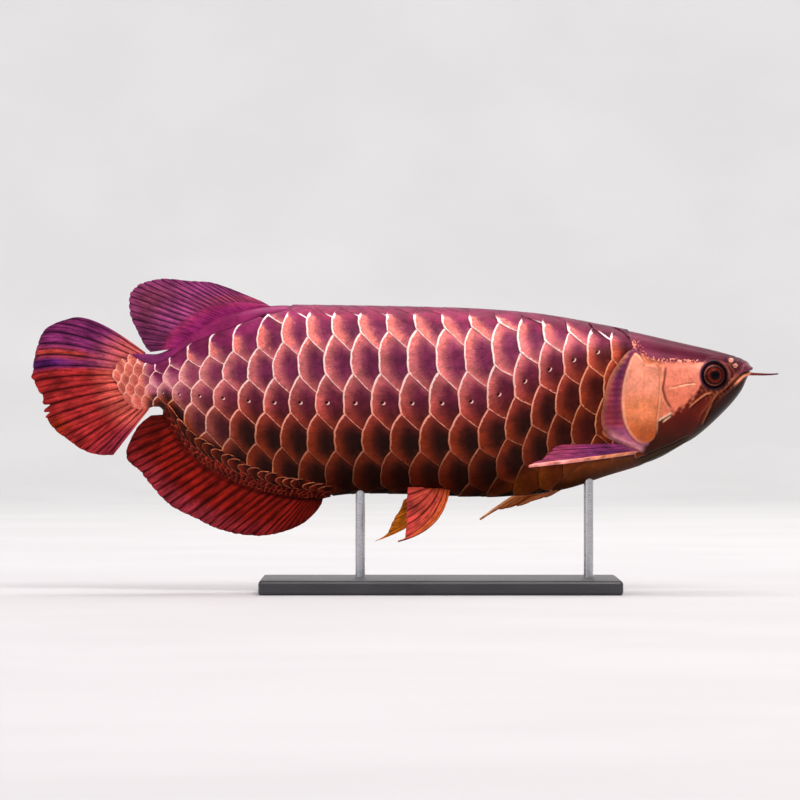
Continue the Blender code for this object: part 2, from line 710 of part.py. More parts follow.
def scaled_body(name, first, last, grow=0.0):
    """Length of the body with its scales as plates, each rim raised over the next."""
    bm = bmesh.new()
    stacks = {}

    def corner(column, row, level):
        key = (column, row, level)
        if key not in stacks:
            bulge = RIM_BULGE if row % 4 == 0 else 0.0
            s, p = lattice_place((column + bulge) / 2, row / 4)
            stacks[key] = bm.verts.new((s, p * FLAT_GIRTH, level * FLAT_RISE))
        return stacks[key]

    for j in SCALE_ROWS:
        for i in SCALE_COLUMNS:
            c = 2 * i + j % 2
            top, bottom = (c, 4 * j + 3), (c, 4 * j - 3)
            up, mid, low = (c + 1, 4 * j + 1), (c + 1, 4 * j), (c + 1, 4 * j - 1)
            ahead = ((c - 1, 4 * j - 1), (c - 1, 4 * j), (c - 1, 4 * j + 1))
            shapes = (
                [(*top, 1), (*up, 2), (*mid, 2), (*low, 2), (*bottom, 1)] + [(*a, 0) for a in ahead],
                [(*up, 2), (*up, 1), (*up, 0), (*mid, 0), (*mid, 2)],
                [(*mid, 2), (*mid, 0), (*low, 0), (*low, 1), (*low, 2)],
                [(*top, 1), (*top, 0), (*up, 1), (*up, 2)],
                [(*low, 2), (*low, 1), (*bottom, 0), (*bottom, 1)],
            )
            for shape in shapes:
                bm.faces.new([corner(*key) for key in shape])

    def trim(place, direction, clear):
        faces = [f for f in bm.faces if clear or f.calc_center_median().x < CREASES_END]
        edges = {e for f in faces for e in f.edges}
        geometry = list({v for e in edges for v in e.verts}) + list(edges) + faces
        bmesh.ops.bisect_plane(bm, geom=geometry, dist=1e-6, plane_co=place,
                               plane_no=direction, clear_outer=clear)

    trim((0, FLAT_GIRTH, 0), (0, 1, 0), True)
    trim((0, -FLAT_GIRTH, 0), (0, -1, 0), True)
    trim((first, 0, 0), (-1, 0, 0), True)
    trim((last, 0, 0), (1, 0, 0), True)
    for p in CREASES:
        trim((0, p * FLAT_GIRTH, 0), (0, 1, 0), False)
    bmesh.ops.triangulate(bm, faces=bm.faces)
    for vertex in bm.verts:
        s, p, level = vertex.co.x, vertex.co.y / FLAT_GIRTH, vertex.co.z / FLAT_RISE
        y, h = skin_point(s, p, relief_at(s, p, level) + grow)
        vertex.co = world_point(s, y if abs(p) < 0.99999 else 0.0, h)
    half = list(bm.verts) + list(bm.edges) + list(bm.faces)
    other = bmesh.ops.duplicate(bm, geom=half)["geom"]
    for vertex in (v for v in other if isinstance(v, bmesh.types.BMVert)):
        vertex.co.y = -vertex.co.y
    bmesh.ops.reverse_faces(bm, faces=[f for f in other if isinstance(f, bmesh.types.BMFace)])
    bmesh.ops.remove_doubles(bm, verts=bm.verts, dist=WELD)
    bmesh.ops.holes_fill(bm, edges=[e for e in bm.edges if e.is_boundary])
    bmesh.ops.triangulate(bm, faces=[f for f in bm.faces if len(f.verts) > 3])
    bmesh.ops.recalc_face_normals(bm, faces=bm.faces)
    mesh = bpy.data.meshes.new(name)
    bm.to_mesh(mesh)
    bm.free()
    return on_bench(name, mesh)


def make_trunk(recesses):
    """From the gill covers to behind the belly fins."""
    trunk = scaled_body("trunk", TRUNK_START, TAIL_CUT)
    boolean(trunk, as_cutter(head_block()), "DIFFERENCE")
    for recess in recesses:
        boolean(trunk, recess, "DIFFERENCE")
    return keep_largest(trunk)


def head_block():
    """Everything ahead of the slanting cut between head and trunk, and the gap there."""
    top = NAPE_CUT[1] + CUT_ABOVE
    cut = [(s + GAP, h) for s, h in (NAPE_CUT, THROAT_CUT, CUT_END)]
    outline = [(cut[0][0], top), *cut, (CUT_AHEAD, CUT_END[1]), (CUT_AHEAD, top)]
    return prism("head_block", outline, -CUT_BREADTH, CUT_BREADTH)


def make_tail():
    """From the anal fin to the scaled root of the tail fin."""
    return keep_largest(scaled_body("tail", TAIL_CUT + GAP, SCALED_END))


# Fins: each guide ray gives its place, lean in degrees above the level, and length
DORSAL_GUIDES = ((402.5, 30, 8), (408.5, 31.5, 24.5), (416.5, 32.5, 38.5), (427, 30, 49),
                 (439.5, 26.5, 65.5), (451, 22, 70.5), (465, 16.5, 57), (477, 9, 35.5),
                 (487, -8, 15.5))
ANAL_GUIDES = ((357.5, -75, 7), (359.5, -68, 16), (363, -60, 27.5), (368, -52, 37),
               (375, -45, 46.5), (390, -38, 53.5), (409, -38, 51), (428, -37, 48.5),
               (446, -34, 48.5), (461, -31, 45), (471, -29, 43.5), (479.5, -26.5, 47.5),
               (486, -17, 30.8), (489.5, -4, 12.5))
DORSAL_RAYS = 20
ANAL_RAYS = 26
ROOT_DEPTH = 7.0
RAY_HALF = (1.25, 0.45)       # half thickness of a ray at its root and tip
WEB_HALF = (0.55, 0.27)       # and of the membrane between two rays
SCALLOP = 0.03                # share by which the membrane falls short of the ray tips


def sheet(name, place, across, along, half_thickness):
    """Closed fin: place(i, k) is its middle surface, split alike on both faces."""
    middle = [[place(i, k) for k in range(along)] for i in range(across)]
    vertices = []
    for face in (1, -1):
        for i in range(across):
            for k in range(along):
                run_i = middle[min(i + 1, across - 1)][k] - middle[max(i - 1, 0)][k]
                run_k = middle[i][min(k + 1, along - 1)] - middle[i][max(k - 1, 0)]
                normal = run_i.cross(run_k).normalized()
                vertices.append(middle[i][k] + normal * face * half_thickness(i, k) * MM)
    count = across * along
    faces = []
    for i in range(across - 1):
        for k in range(along - 1):
            a = i * along + k
            b = a + along
            faces.append((a, b, b + 1))
            faces.append((a, b + 1, a + 1))
            faces.append((count + a, count + b + 1, count + b))
            faces.append((count + a, count + a + 1, count + b + 1))
    rim = [i * along for i in range(across)]
    rim += [(across - 1) * along + k for k in range(1, along)]
    rim += [i * along + along - 1 for i in range(across - 2, -1, -1)]
    rim += [k for k in range(along - 2, 0, -1)]
    for a, b in zip(rim, rim[1:] + rim[:1]):
        faces.append((a, b, b + count))
        faces.append((a, b + count, a + count))
    return mesh_object(name, vertices, faces)


def ray_fin(name, ray_point, rays, along):
    """Fin with a ridge along each ray; ray_point(u, t) runs over the fin, root to tip."""
    across = 2 * rays - 1

    def place(i, k):
        t = k / (along - 1)
        if i % 2:
            t *= 1 - SCALLOP
        return ray_point(i / (across - 1), t)

    def half_thickness(i, k):
        root, tip = WEB_HALF if i % 2 else RAY_HALF
        t = k / (along - 1)
        return root + (tip - root) * t

    return sheet(name, place, across, along, half_thickness)


def median_fin(name, guides, edge_at, rays, along):
    """Fin on the back or belly line, in the body's middle plane."""
    count = len(guides) - 1
    root_at = curve_through([(i / count, g[0]) for i, g in enumerate(guides)])
    lean_at = curve_through([(i / count, g[1]) for i, g in enumerate(guides)])
    length_at = curve_through([(i / count, g[2]) for i, g in enumerate(guides)])

    def ray_point(u, t):
        s = root_at(u)
        lean = math.radians(lean_at(u))
        reach = -ROOT_DEPTH + (length_at(u) + ROOT_DEPTH) * t
        return world_point(s + reach * math.cos(lean), 0,
                           edge_at(s) + reach * math.sin(lean))

    return ray_fin(name, ray_point, rays, along)


# Tail fin: a fan of rays round the scaled root, angles in degrees above the level
TAIL_CENTRE = (509.6, 20.1)
TAIL_SPREAD = (40.0, -70.0)
TAIL_REACH = ((-70, 70.5), (-55, 78), (-40, 82), (-25, 87), (-12, 85), (-1, 91), (22, 91), (40, 76))
TAIL_ROOT = (11.5, 24.5)      # half length and half height of the arc that the rays start on
TAIL_ROOT_CENTRE = (501.6, 17.1)
TAIL_ROOT_TURNS = (66.0, -82.0)
TAIL_RAYS = 17
TAIL_BEND = 12.0              # of the upper edge
TAIL_BEND_AT = 0.8            # share of a ray's length where it bends


def tail_ray(u, t):
    """Point on the tail fin, u from its upper to its lower edge."""
    centre_s, centre_h = TAIL_CENTRE
    reach_at = curve_through(TAIL_REACH)
    angle = TAIL_SPREAD[0] + (TAIL_SPREAD[1] - TAIL_SPREAD[0]) * u
    turn = math.radians(TAIL_ROOT_TURNS[0] + (TAIL_ROOT_TURNS[1] - TAIL_ROOT_TURNS[0]) * u)
    root = Vector((TAIL_ROOT_CENTRE[0] + TAIL_ROOT[0] * math.cos(turn),
                   TAIL_ROOT_CENTRE[1] + TAIL_ROOT[1] * math.sin(turn)))
    lean = math.radians(angle)
    tip = Vector((centre_s + reach_at(angle) * math.cos(lean),
                  centre_h + reach_at(angle) * math.sin(lean)))
    chord = tip - root
    start = math.atan2(chord.y, chord.x) + math.radians(TAIL_BEND * (1 - u) ** 2)
    bend = root + Vector((math.cos(start), math.sin(start))) * chord.length * TAIL_BEND_AT
    spot = root * (1 - t) ** 2 + bend * 2 * t * (1 - t) + tip * t ** 2
    return world_point(spot.x, 0, spot.y)


# Paired fins: each ray from its root (s, h) to its tip (s, h), and how far it stands out
PECTORAL_RIGHT = (((94.5, -43.5), (189, -55), 107), ((97, -42), (177.7, -49), 86),
                  ((101.5, -40), (171, -44.5), 66), ((107, -38), (163, -38), 44),
                  ((113, -37), (152, -38), 26))
PECTORAL_LEFT = (((95.5, -40), (225, -99), 26), ((97, -43), (211, -93), 22),
                 ((100, -45.5), (189, -87), 17), ((104, -47.5), (172, -82), 12),
                 ((108, -49), (158, -74), 8))
PELVIC_RIGHT = (((252, -75), (295.7, -117.7), 45), ((256, -74.5), (290.5, -115), 40),
                ((261, -74), (288.2, -103), 29), ((267, -74), (288.2, -88), 18),
                ((274, -73.5), (287, -72.5), 8))
PELVIC_LEFT = (((252, -75), (314.2, -118.6), 14), ((256, -74.5), (304.8, -112.5), 15),
               ((261, -74), (299, -100), 15), ((267, -74), (294.5, -94), 13),
               ((274, -73.5), (290.5, -84), 10))
PAIRED_BOW = 0.16
# Side-view bow of a fin's leading ray, along s and h
PECTORAL_LEAD = ((0, 0), (0, 18))
PELVIC_LEAD = ((-16.7, -12.3), (-7, -10))
LEAD_FADE = 1.5
PAIRED_INSIDE = (-1.7, -3.9, 1.7)   # start of a ray inside the body, from its root
PAIRED_ROOT_SHARE = 0.12


def paired_fin(name, guides, lead, side, rays, along):
    """Fin on one side, from guide rays between the leading and the trailing edge."""
    count = len(guides) - 1

    def column(pick):
        return curve_through([(i / count, pick(g)) for i, g in enumerate(guides)])

    root_s, root_h = column(lambda g: g[0][0]), column(lambda g: g[0][1])
    tip_s, tip_h = column(lambda g: g[1][0]), column(lambda g: g[1][1])
    stand_out = column(lambda g: g[2])

    def ray_point(u, t):
        s, h = root_s(u), root_h(u)
        surface = half_breadth(s, h)
        root = Vector((s, surface, h))
        tip = Vector((tip_s(u), surface + stand_out(u), tip_h(u)))
        chord = tip - root
        inner = root + Vector(PAIRED_INSIDE)
        fade = (1 - u) ** LEAD_FADE
        bow = Vector((lead[0] * fade, chord.length * PAIRED_BOW, lead[1] * fade))
        middle = root + chord * 0.5 + bow
        if t < PAIRED_ROOT_SHARE:
            spot = inner + (root - inner) * t / PAIRED_ROOT_SHARE
        else:
            r = (t - PAIRED_ROOT_SHARE) / (1 - PAIRED_ROOT_SHARE)
            spot = root * (1 - r) ** 2 + middle * 2 * r * (1 - r) + tip * r ** 2
        return world_point(spot.x, side * spot.y, spot.z)

    return ray_fin(name, ray_point, rays, along)


# Display stand
BASE_LENGTH = 300.0
BASE_DEPTH = 180.0
BASE_HEIGHT = 12.0
BASE_EDGE = 2.5
ROD_RADIUS = 4.0
FRONT_ROD_AT = 136.0
REAR_ROD_AT = 327.0


def stand_base():
    """Flat base with rounded edges, its underside on the floor."""
    mesh = bpy.data.meshes.new("stand_base")
    bm = bmesh.new()
    bmesh.ops.create_cube(bm, size=1.0)
    bmesh.ops.scale(bm, vec=Vector((BASE_LENGTH, BASE_DEPTH, BASE_HEIGHT)) * MM, verts=bm.verts)
    bmesh.ops.translate(bm, vec=Vector((0, 0, BASE_HEIGHT / 2 * MM)), verts=bm.verts)
    bm.to_mesh(mesh)
    bm.free()
    base = on_bench("stand_base", mesh)
    edge = base.modifiers.new("Bevel", "BEVEL")
    edge.width = BASE_EDGE * MM
    edge.segments = 2
    return applied(base)


def stand_rod(name, s, seat):
    """Upright rod from the base to the belly, its top cut to the belly's form."""
    mesh = bpy.data.meshes.new(name)
    bottom = (BASE_HEIGHT + GAP) * MM
    top = (LEVEL_HEIGHT + belly_at(s) + 8) * MM
    bm = bmesh.new()
    bmesh.ops.create_cone(bm, cap_ends=True, segments=20, radius1=ROD_RADIUS * MM,
                          radius2=ROD_RADIUS * MM, depth=top - bottom)
    bmesh.ops.translate(bm, vec=Vector(((SNOUT_AHEAD - s) * MM, 0, (top + bottom) / 2)),
                        verts=bm.verts)
    bm.to_mesh(mesh)
    bm.free()
    rod = on_bench(name, mesh)
    boolean(rod, seat, "DIFFERENCE")
    return keep_largest(rod)


def make_fins(seat):
    """All fins, each with its root cut to the body's surface."""
    fins = [
        (median_fin("dorsal_fin", DORSAL_GUIDES, back_at, DORSAL_RAYS, 5), (0.30, 0.17, 0.20)),
        (median_fin("anal_fin", ANAL_GUIDES, belly_at, ANAL_RAYS, 5), (0.45, 0.12, 0.11)),
        (ray_fin("caudal_fin", tail_ray, TAIL_RAYS, 6), (0.45, 0.13, 0.15)),
        (paired_fin("pectoral_fin_right", PECTORAL_RIGHT, PECTORAL_LEAD[0], -1, 7, 10), (0.50, 0.20, 0.16)),
        (paired_fin("pectoral_fin_left", PECTORAL_LEFT, PECTORAL_LEAD[1], 1, 7, 10), (0.50, 0.20, 0.16)),
        (paired_fin("pelvic_fin_right", PELVIC_RIGHT, PELVIC_LEAD[0], -1, 6, 8), (0.50, 0.18, 0.15)),
        (paired_fin("pelvic_fin_left", PELVIC_LEFT, PELVIC_LEAD[1], 1, 6, 8), (0.50, 0.18, 0.15)),
    ]
    for fin, colour in fins:
        boolean(fin, seat, "DIFFERENCE")
        finish(keep_largest(fin), colour, 0.35)


def main():
    """Build the fish and its stand."""
    recesses = [gill_recess(-1), gill_recess(1)]
    scale_brown = (0.25, 0.13, 0.11)
    finish(make_head(recesses), (0.42, 0.21, 0.16), 0.35)
    finish(make_jaw(), (0.45, 0.24, 0.18), 0.35)
    finish(make_trunk(recesses), scale_brown, 0.35)
    finish(make_tail(), scale_brown, 0.35)
    for side in (-1, 1):
        word = SIDE_NAMES[side]
        finish(gill_cover("gill_cover_" + word, side), (0.75, 0.38, 0.14), 0.3)
        centre, look = eye_frame(side)
        eye = ball("eye_" + word, centre, look, EYE_RADIUS, EYE_THICKNESS)
        finish(eye, (0.16, 0.04, 0.03), 0.12)
        finish(barbel(side), (0.55, 0.32, 0.26), 0.45)
    seat = as_cutter(scaled_body("fin_seat", TRUNK_START, SCALED_END + GAP, GAP))
    make_fins(seat)
    finish(stand_base(), (0.05, 0.05, 0.055), 0.4)
    finish(stand_rod("stand_rod_front", FRONT_ROD_AT, seat), (0.6, 0.6, 0.62), 0.25, 1.0)
    finish(stand_rod("stand_rod_rear", REAR_ROD_AT, seat), (0.6, 0.6, 0.62), 0.25, 1.0)


clear_scene()
PARTS = new_collection("asian_arowana")
CUTTERS = new_collection("cutters")
main()
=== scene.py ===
"""Looks of the asian arowana: skin, scales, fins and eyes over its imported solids.

Sizes of the body are in millimetres: s is the distance behind the snout, h the height
above the level line through the middle of the body, and p the share of the girth, from
-1 at the keel by 0 at the lateral line to 1 at the back.
"""
import math
import random

import bpy
import numpy as np
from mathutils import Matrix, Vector


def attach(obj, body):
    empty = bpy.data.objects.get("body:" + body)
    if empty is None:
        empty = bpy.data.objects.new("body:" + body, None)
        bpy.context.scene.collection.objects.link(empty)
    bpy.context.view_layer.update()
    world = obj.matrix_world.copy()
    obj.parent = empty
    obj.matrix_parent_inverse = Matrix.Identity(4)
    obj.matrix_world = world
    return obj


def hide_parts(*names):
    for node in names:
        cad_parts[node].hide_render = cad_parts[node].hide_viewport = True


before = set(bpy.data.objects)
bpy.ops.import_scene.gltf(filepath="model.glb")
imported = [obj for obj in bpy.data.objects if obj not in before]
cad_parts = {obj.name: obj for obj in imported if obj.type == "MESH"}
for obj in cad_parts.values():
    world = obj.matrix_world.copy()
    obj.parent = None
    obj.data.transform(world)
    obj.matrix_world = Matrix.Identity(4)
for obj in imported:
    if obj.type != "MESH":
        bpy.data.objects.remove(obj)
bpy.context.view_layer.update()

MM = 0.001
LEVEL_HEIGHT = 160.7
SNOUT_AHEAD = 260.2

# The body's outline, breadth and pattern of scales, as in the solids
BACK_LINE = ((0, 26.8), (0.8, 28.5), (2.5, 31), (8.4, 34.7), (26, 40.2), (61, 48.4),
             (120, 61.5), (187, 72.6), (247, 76.6), (323, 78.4), (392, 79.2), (415, 77.3),
             (440, 71.5), (462, 60.2), (488, 41.8), (499, 38.3), (516, 39.2), (524, 36.5),
             (532, 29), (536.5, 21.5))
BELLY_LINE = ((0, 25.5), (0.8, 23.4), (2.5, 20.1), (8.4, 7.5), (26, -12.9), (49, -32.6),
              (84, -51.6), (120, -63.3), (162, -75.7), (217, -80.3), (323, -77.6),
              (371, -80.8), (398, -77.2), (428, -68.6), (462, -50.2), (477, -32.3),
              (488, -14.2), (496, -4.8), (512, -8.6), (520, -4.5), (528, 5.5), (536.5, 14.5))
HALF_BREADTH = ((0, 3.5), (0.8, 7), (2.5, 9.5), (9, 14), (26, 20), (43, 23), (76, 27),
                (110, 29), (143, 30.5), (193, 32), (260, 32), (327, 30.5), (377, 27),
                (428, 20), (461, 13.5), (490, 8), (511, 5.5), (524, 4), (536.5, 1.6))
WIDEST_LEVEL = ((0, 26), (9, 24), (26, 17), (49, 12), (96, 11), (150, 14), (220, 11),
                (300, 7), (430, 7), (480, 8), (500, 15), (536.5, 18))
BACK_POWER = ((0, 2.6), (30, 3.2), (90, 3.0), (160, 2.6), (537, 2.4))
BELLY_ROUNDNESS = ((0, 0.5), (30, 0.6), (90, 0.7), (160, 0.8), (537, 0.75))
BELLY_POWER = 2.2
LATERAL_LINE = ((50, 36), (109, 42.5), (151, 32.5), (192, 14.5), (212, 4.5), (234, -1),
                (258, -2.4), (400, -1.9), (441, 1.7), (478, 5), (504, 7.5), (520, 9), (537, 15))
COLUMN_PLACES = ((-4, 52), (0, 129.7), (4, 211.7), (8, 307.9), (12, 398.3), (16, 477.8),
                 (18, 503), (20, 520), (22, 534), (24, 548))
ROW_HEIGHT = ((60, 28), (100, 29), (150, 30), (300, 31.5), (370, 31), (400, 28), (440, 24.5),
              (470, 19.5), (490, 14), (505, 10), (537, 8))
SHEAR_ABOVE = ((60, 0.36), (190, 0.34), (280, 0.24), (330, 0.22), (400, 0.13), (450, 0.09))
SHEAR_BELOW = 0.17
STRETCH_ABOVE = ((0, 0), (0.25, 0.29), (0.58, 0.68), (0.78, 0.845), (1.0, 0.955), (1.3, 1.0))
SCALED_END = 536.4


def curve_through(points):
    """Return a smooth function through (position, value) pairs that never overshoots."""
    xs, ys = np.array(points, float).T
    steps = np.diff(xs)
    slopes = np.diff(ys) / steps
    product = slopes[:-1] * slopes[1:]
    total = np.where(product > 0, slopes[:-1] + slopes[1:], 1)
    inner = np.where(product > 0, 2 * product / total, 0)
    tangents = np.concatenate(([slopes[0]], inner, [slopes[-1]]))

    def value(x):
        x = np.clip(np.asarray(x, float), xs[0], xs[-1])
        i = np.clip(np.searchsorted(xs, x, side="right") - 1, 0, len(steps) - 1)
        t = (x - xs[i]) / steps[i]
        rise = ys[i + 1] - ys[i]
        bend_in = tangents[i] * steps[i]
        bend_out = tangents[i + 1] * steps[i]
        return (ys[i] + bend_in * t + (3 * rise - 2 * bend_in - bend_out) * t ** 2
                + (bend_in + bend_out - 2 * rise) * t ** 3)

    return value


back_at = curve_through(BACK_LINE)
belly_at = curve_through(BELLY_LINE)
breadth_at = curve_through(HALF_BREADTH)
widest_at = curve_through(WIDEST_LEVEL)
back_power = curve_through(BACK_POWER)
belly_roundness = curve_through(BELLY_ROUNDNESS)
lateral_at = curve_through(LATERAL_LINE)
column_at = curve_through(COLUMN_PLACES)
row_height_at = curve_through(ROW_HEIGHT)
shear_above = curve_through(SHEAR_ABOVE)
stretched = curve_through(STRETCH_ABOVE)


def smooth_step(x, low, high):
    """Ease from 0 at low to 1 at high."""
    t = np.clip((np.asarray(x, float) - low) / (high - low), 0, 1)
    return t * t * (3 - 2 * t)


def section_point(s, angle):
    """Half breadth and level of the body's section at s, from keel -90 to back +90."""
    rise = np.sin(np.radians(angle))
    middle = widest_at(s)
    up = np.clip(rise, 0, 1)
    down = np.clip(-rise, 0, 1)
    level = np.where(rise >= 0, middle + (back_at(s) - middle) * up,
                     middle - (middle - belly_at(s)) * down)
    above = np.clip(1 - up ** back_power(s), 0, 1) ** 0.5
    below = np.clip(1 - down ** BELLY_POWER, 0, 1) ** belly_roundness(s)
    return breadth_at(s) * np.where(rise >= 0, above, below), level


def half_breadth(s, h):
    """Half the body's breadth at the level h of the section at s."""
    middle = widest_at(s)
    up = np.clip((h - middle) / (back_at(s) - middle), 0, 1)
    down = np.clip((middle - h) / (middle - belly_at(s)), 0, 1)
    above = (1 - up ** back_power(s)) ** 0.5
    below = (1 - down ** BELLY_POWER) ** belly_roundness(s)
    return breadth_at(s) * np.where(h >= middle, above, below)


def to_world(points):
    """Metres in the scene from rows of s, y and h in millimetres."""
    points = np.asarray(points, float)
    return np.stack([(SNOUT_AHEAD - points[..., 0]), points[..., 1],
                     LEVEL_HEIGHT + points[..., 2]], -1) * MM


def unit(vectors):
    """Vectors of length 1."""
    return vectors / np.maximum(np.linalg.norm(vectors, axis=-1, keepdims=True), 1e-9)


# Table of the body's surface by s and p, with its outward directions, on the left side
TABLE_S = np.linspace(40, 537, 995)
TABLE_P = np.linspace(-1, 1, 321)


def make_table():
    """Surface points and normals over s and p, and the lengths of the girth."""
    angles = np.linspace(-90, 90, 361)
    points = np.zeros((len(TABLE_S), len(TABLE_P), 3))
    sides = np.zeros((len(TABLE_S), 2))
    for n, s in enumerate(TABLE_S):
        y, level = section_point(np.full(len(angles), s), angles)
        lengths = np.concatenate(([0], np.cumsum(np.hypot(np.diff(y), np.diff(level)))))
        line = np.interp(lateral_at(s), level, lengths)
        side = np.where(TABLE_P > 0, lengths[-1] - line, line)
        reach = line + TABLE_P * side
        points[n, :, 0] = s
        points[n, :, 1] = np.interp(reach, lengths, y)
        points[n, :, 2] = np.interp(reach, lengths, level)
        sides[n] = line, lengths[-1] - line
    along = np.gradient(points, axis=0)
    around = np.gradient(points, axis=1)
    normals = unit(np.cross(along, around))
    normals *= np.sign((normals * (points - [0, 0, 5]))[..., 1:].sum(-1, keepdims=True))
    normals[:, 0] = [0, 0, -1]
    normals[:, -1] = [0, 0, 1]
    return points, unit(normals), sides


TABLE, TABLE_NORMALS, TABLE_SIDES = make_table()


def side_length(s, p_sign):
    """Length of the girth from the lateral line to the keel (-) or the back (+)."""
    below = np.interp(s, TABLE_S, TABLE_SIDES[:, 0])
    above = np.interp(s, TABLE_S, TABLE_SIDES[:, 1])
    return np.where(p_sign > 0, above, below)


def surface(s, p, side, lift=0.0):
    """Points (s, y, h) of the skin, raised by lift, on side -1 right or +1 left."""
    over = np.abs(p) > 1
    p = np.where(over, np.sign(p) * (2 - np.abs(p)), p)
    a = np.clip((s - TABLE_S[0]) / (TABLE_S[1] - TABLE_S[0]), 0, len(TABLE_S) - 1.001)
    b = np.clip((p + 1) / (TABLE_P[1] - TABLE_P[0]), 0, len(TABLE_P) - 1.001)
    i, j = a.astype(int), b.astype(int)
    u, v = (a - i)[..., None], (b - j)[..., None]

    def pick(table):
        return ((table[i, j] * (1 - v) + table[i, j + 1] * v) * (1 - u)
                + (table[i + 1, j] * (1 - v) + table[i + 1, j + 1] * v) * u)

    flip = np.where(over, -side, side)
    mirror = np.stack([np.ones_like(s), flip, np.ones_like(s)], -1)
    spot = (pick(TABLE) + unit(pick(TABLE_NORMALS)) * np.asarray(lift)[..., None]) * mirror
    spot[..., 0] += np.maximum(0, s - TABLE_S[-1])
    return spot


def lattice(column, row):
    """Places s and p of the pattern of scales at a column and a row."""
    shear = np.where(row > 0, shear_above(column_at(column)), SHEAR_BELOW)
    s = column_at(column + shear * row)
    p = row * row_height_at(s) / side_length(s, row)
    gain = np.interp(s, (250, 400, 450), (1, 0, -0.6))
    p = np.where(row > 0, p + gain * (stretched(p) - p), p)
    return s, p


# ------------------------------------------------------------------ meshes and materials

def rgb(code):
    """Linear colour from six hexadecimal digits."""
    values = np.array([int(code[i:i + 2], 16) for i in (0, 2, 4)]) / 255
    return np.where(values <= 0.04045, values / 12.92, ((values + 0.055) / 1.055) ** 2.4)


def blend(a, b, share):
    """Colours from a to b by a share for each point."""
    return a + (b - a) * np.clip(np.asarray(share), 0, 1)[..., None]


def signed_volume(points, faces):
    """Volume inside the faces, negative where they face inwards."""
    total = 0.0
    for size in {len(face) for face in faces}:
        corners = points[np.array([face for face in faces if len(face) == size])]
        for k in range(1, size - 1):
            total += (corners[:, 0] * np.cross(corners[:, k], corners[:, k + 1])).sum()
    return total


def build(name, points, faces, material, attributes=None, uvs=None):
    """Mesh object from points in metres, with point attributes and an OFBake map."""
    points = np.asarray(points, float)
    if signed_volume(points, faces) < 0:
        faces = [face[::-1] for face in faces]
        if uvs is not None:
            uvs = uvs[:, ::-1]
    mesh = bpy.data.meshes.new(name)
    mesh.from_pydata(points.tolist(), [], [list(map(int, face)) for face in faces])
    for key, values in (attributes or {}).items():
        values = np.asarray(values, np.float32)
        if values.ndim == 1:
            mesh.attributes.new(key, "FLOAT", "POINT").data.foreach_set("value", values)
        else:
            colours = np.concatenate([values, np.ones((len(values), 1))], 1).astype(np.float32)
            layer = mesh.attributes.new(key, "FLOAT_COLOR", "POINT")
            layer.data.foreach_set("color", colours.ravel())
    if uvs is not None:
        layer = mesh.uv_layers.new(name="OFBake")
        layer.uv.foreach_set("vector", np.asarray(uvs, np.float32).ravel())
    mesh.materials.append(material)
    mesh.shade_smooth()
    mesh.validate()
    obj = bpy.data.objects.new(name, mesh)
    bpy.context.scene.collection.objects.link(obj)
    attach(obj, "root")
    return obj


def node(tree, kind, inputs=None, **settings):
    """Add a shader node with its settings, and its inputs as values or links."""
    made = tree.nodes.new(kind)
    for key, value in settings.items():
        setattr(made, key, value)
    for key, value in (inputs or {}).items():
        if isinstance(value, bpy.types.NodeSocket):
            tree.links.new(value, made.inputs[key])
        else:
            made.inputs[key].default_value = value
    return made


def material(name, roughness=0.4, **shader_values):
    """Principled material; returns it with its tree and shader."""
    made = bpy.data.materials.new(name)
    made.use_nodes = True
    shader = made.node_tree.nodes["Principled BSDF"]
    shader.inputs["Roughness"].default_value = roughness
    for key, value in shader_values.items():
        shader.inputs[key.replace("_", " ")].default_value = value
    return made, made.node_tree, shader


def attribute(tree, name, colour=False):
    """Value of a mesh attribute."""
    made = node(tree, "ShaderNodeAttribute", attribute_name=name)
    return made.outputs["Color" if colour else "Fac"]


def calculate(tree, operation, a, b=0.0, clamp=False):
    """Math node."""
    return node(tree, "ShaderNodeMath", {0: a, 1: b}, operation=operation,
                use_clamp=clamp).outputs[0]


def remap(tree, value, low, high, to_low=0.0, to_high=1.0):
    """Smooth change from one range to another."""
    return node(tree, "ShaderNodeMapRange",
                {"Value": value, "From Min": low, "From Max": high, "To Min": to_low,
                 "To Max": to_high}, interpolation_type="SMOOTHSTEP").outputs[0]


def mix(tree, share, a, b, how="MIX"):
    """Mix of two colours."""
    made = node(tree, "ShaderNodeMix", data_type="RGBA", blend_type=how)
    for key, value in ((0, share), (6, a), (7, b)):
        if isinstance(value, bpy.types.NodeSocket):
            tree.links.new(value, made.inputs[key])
        elif key:
            made.inputs[key].default_value = (*value, 1)
        else:
            made.inputs[key].default_value = value
    return made.outputs[2]


def noise(tree, scale, detail=3.0, vector=None, rough=0.5):
    """Noise over the object's own coordinates, or over a given vector."""
    if vector is None:
        vector = node(tree, "ShaderNodeTexCoord").outputs["Object"]
    return node(tree, "ShaderNodeTexNoise", {"Vector": vector, "Scale": scale,
                                             "Detail": detail, "Roughness": rough}).outputs[0]


def bump(tree, shader, height, distance, strength=1.0):
    """Fine relief in metres."""
    made = node(tree, "ShaderNodeBump", {"Height": height, "Distance": distance,
                                         "Strength": strength})
    tree.links.new(made.outputs[0], shader.inputs["Normal"])


def link(tree, socket, shader, name):
    """Drive one input of the shader."""
    tree.links.new(socket, shader.inputs[name])


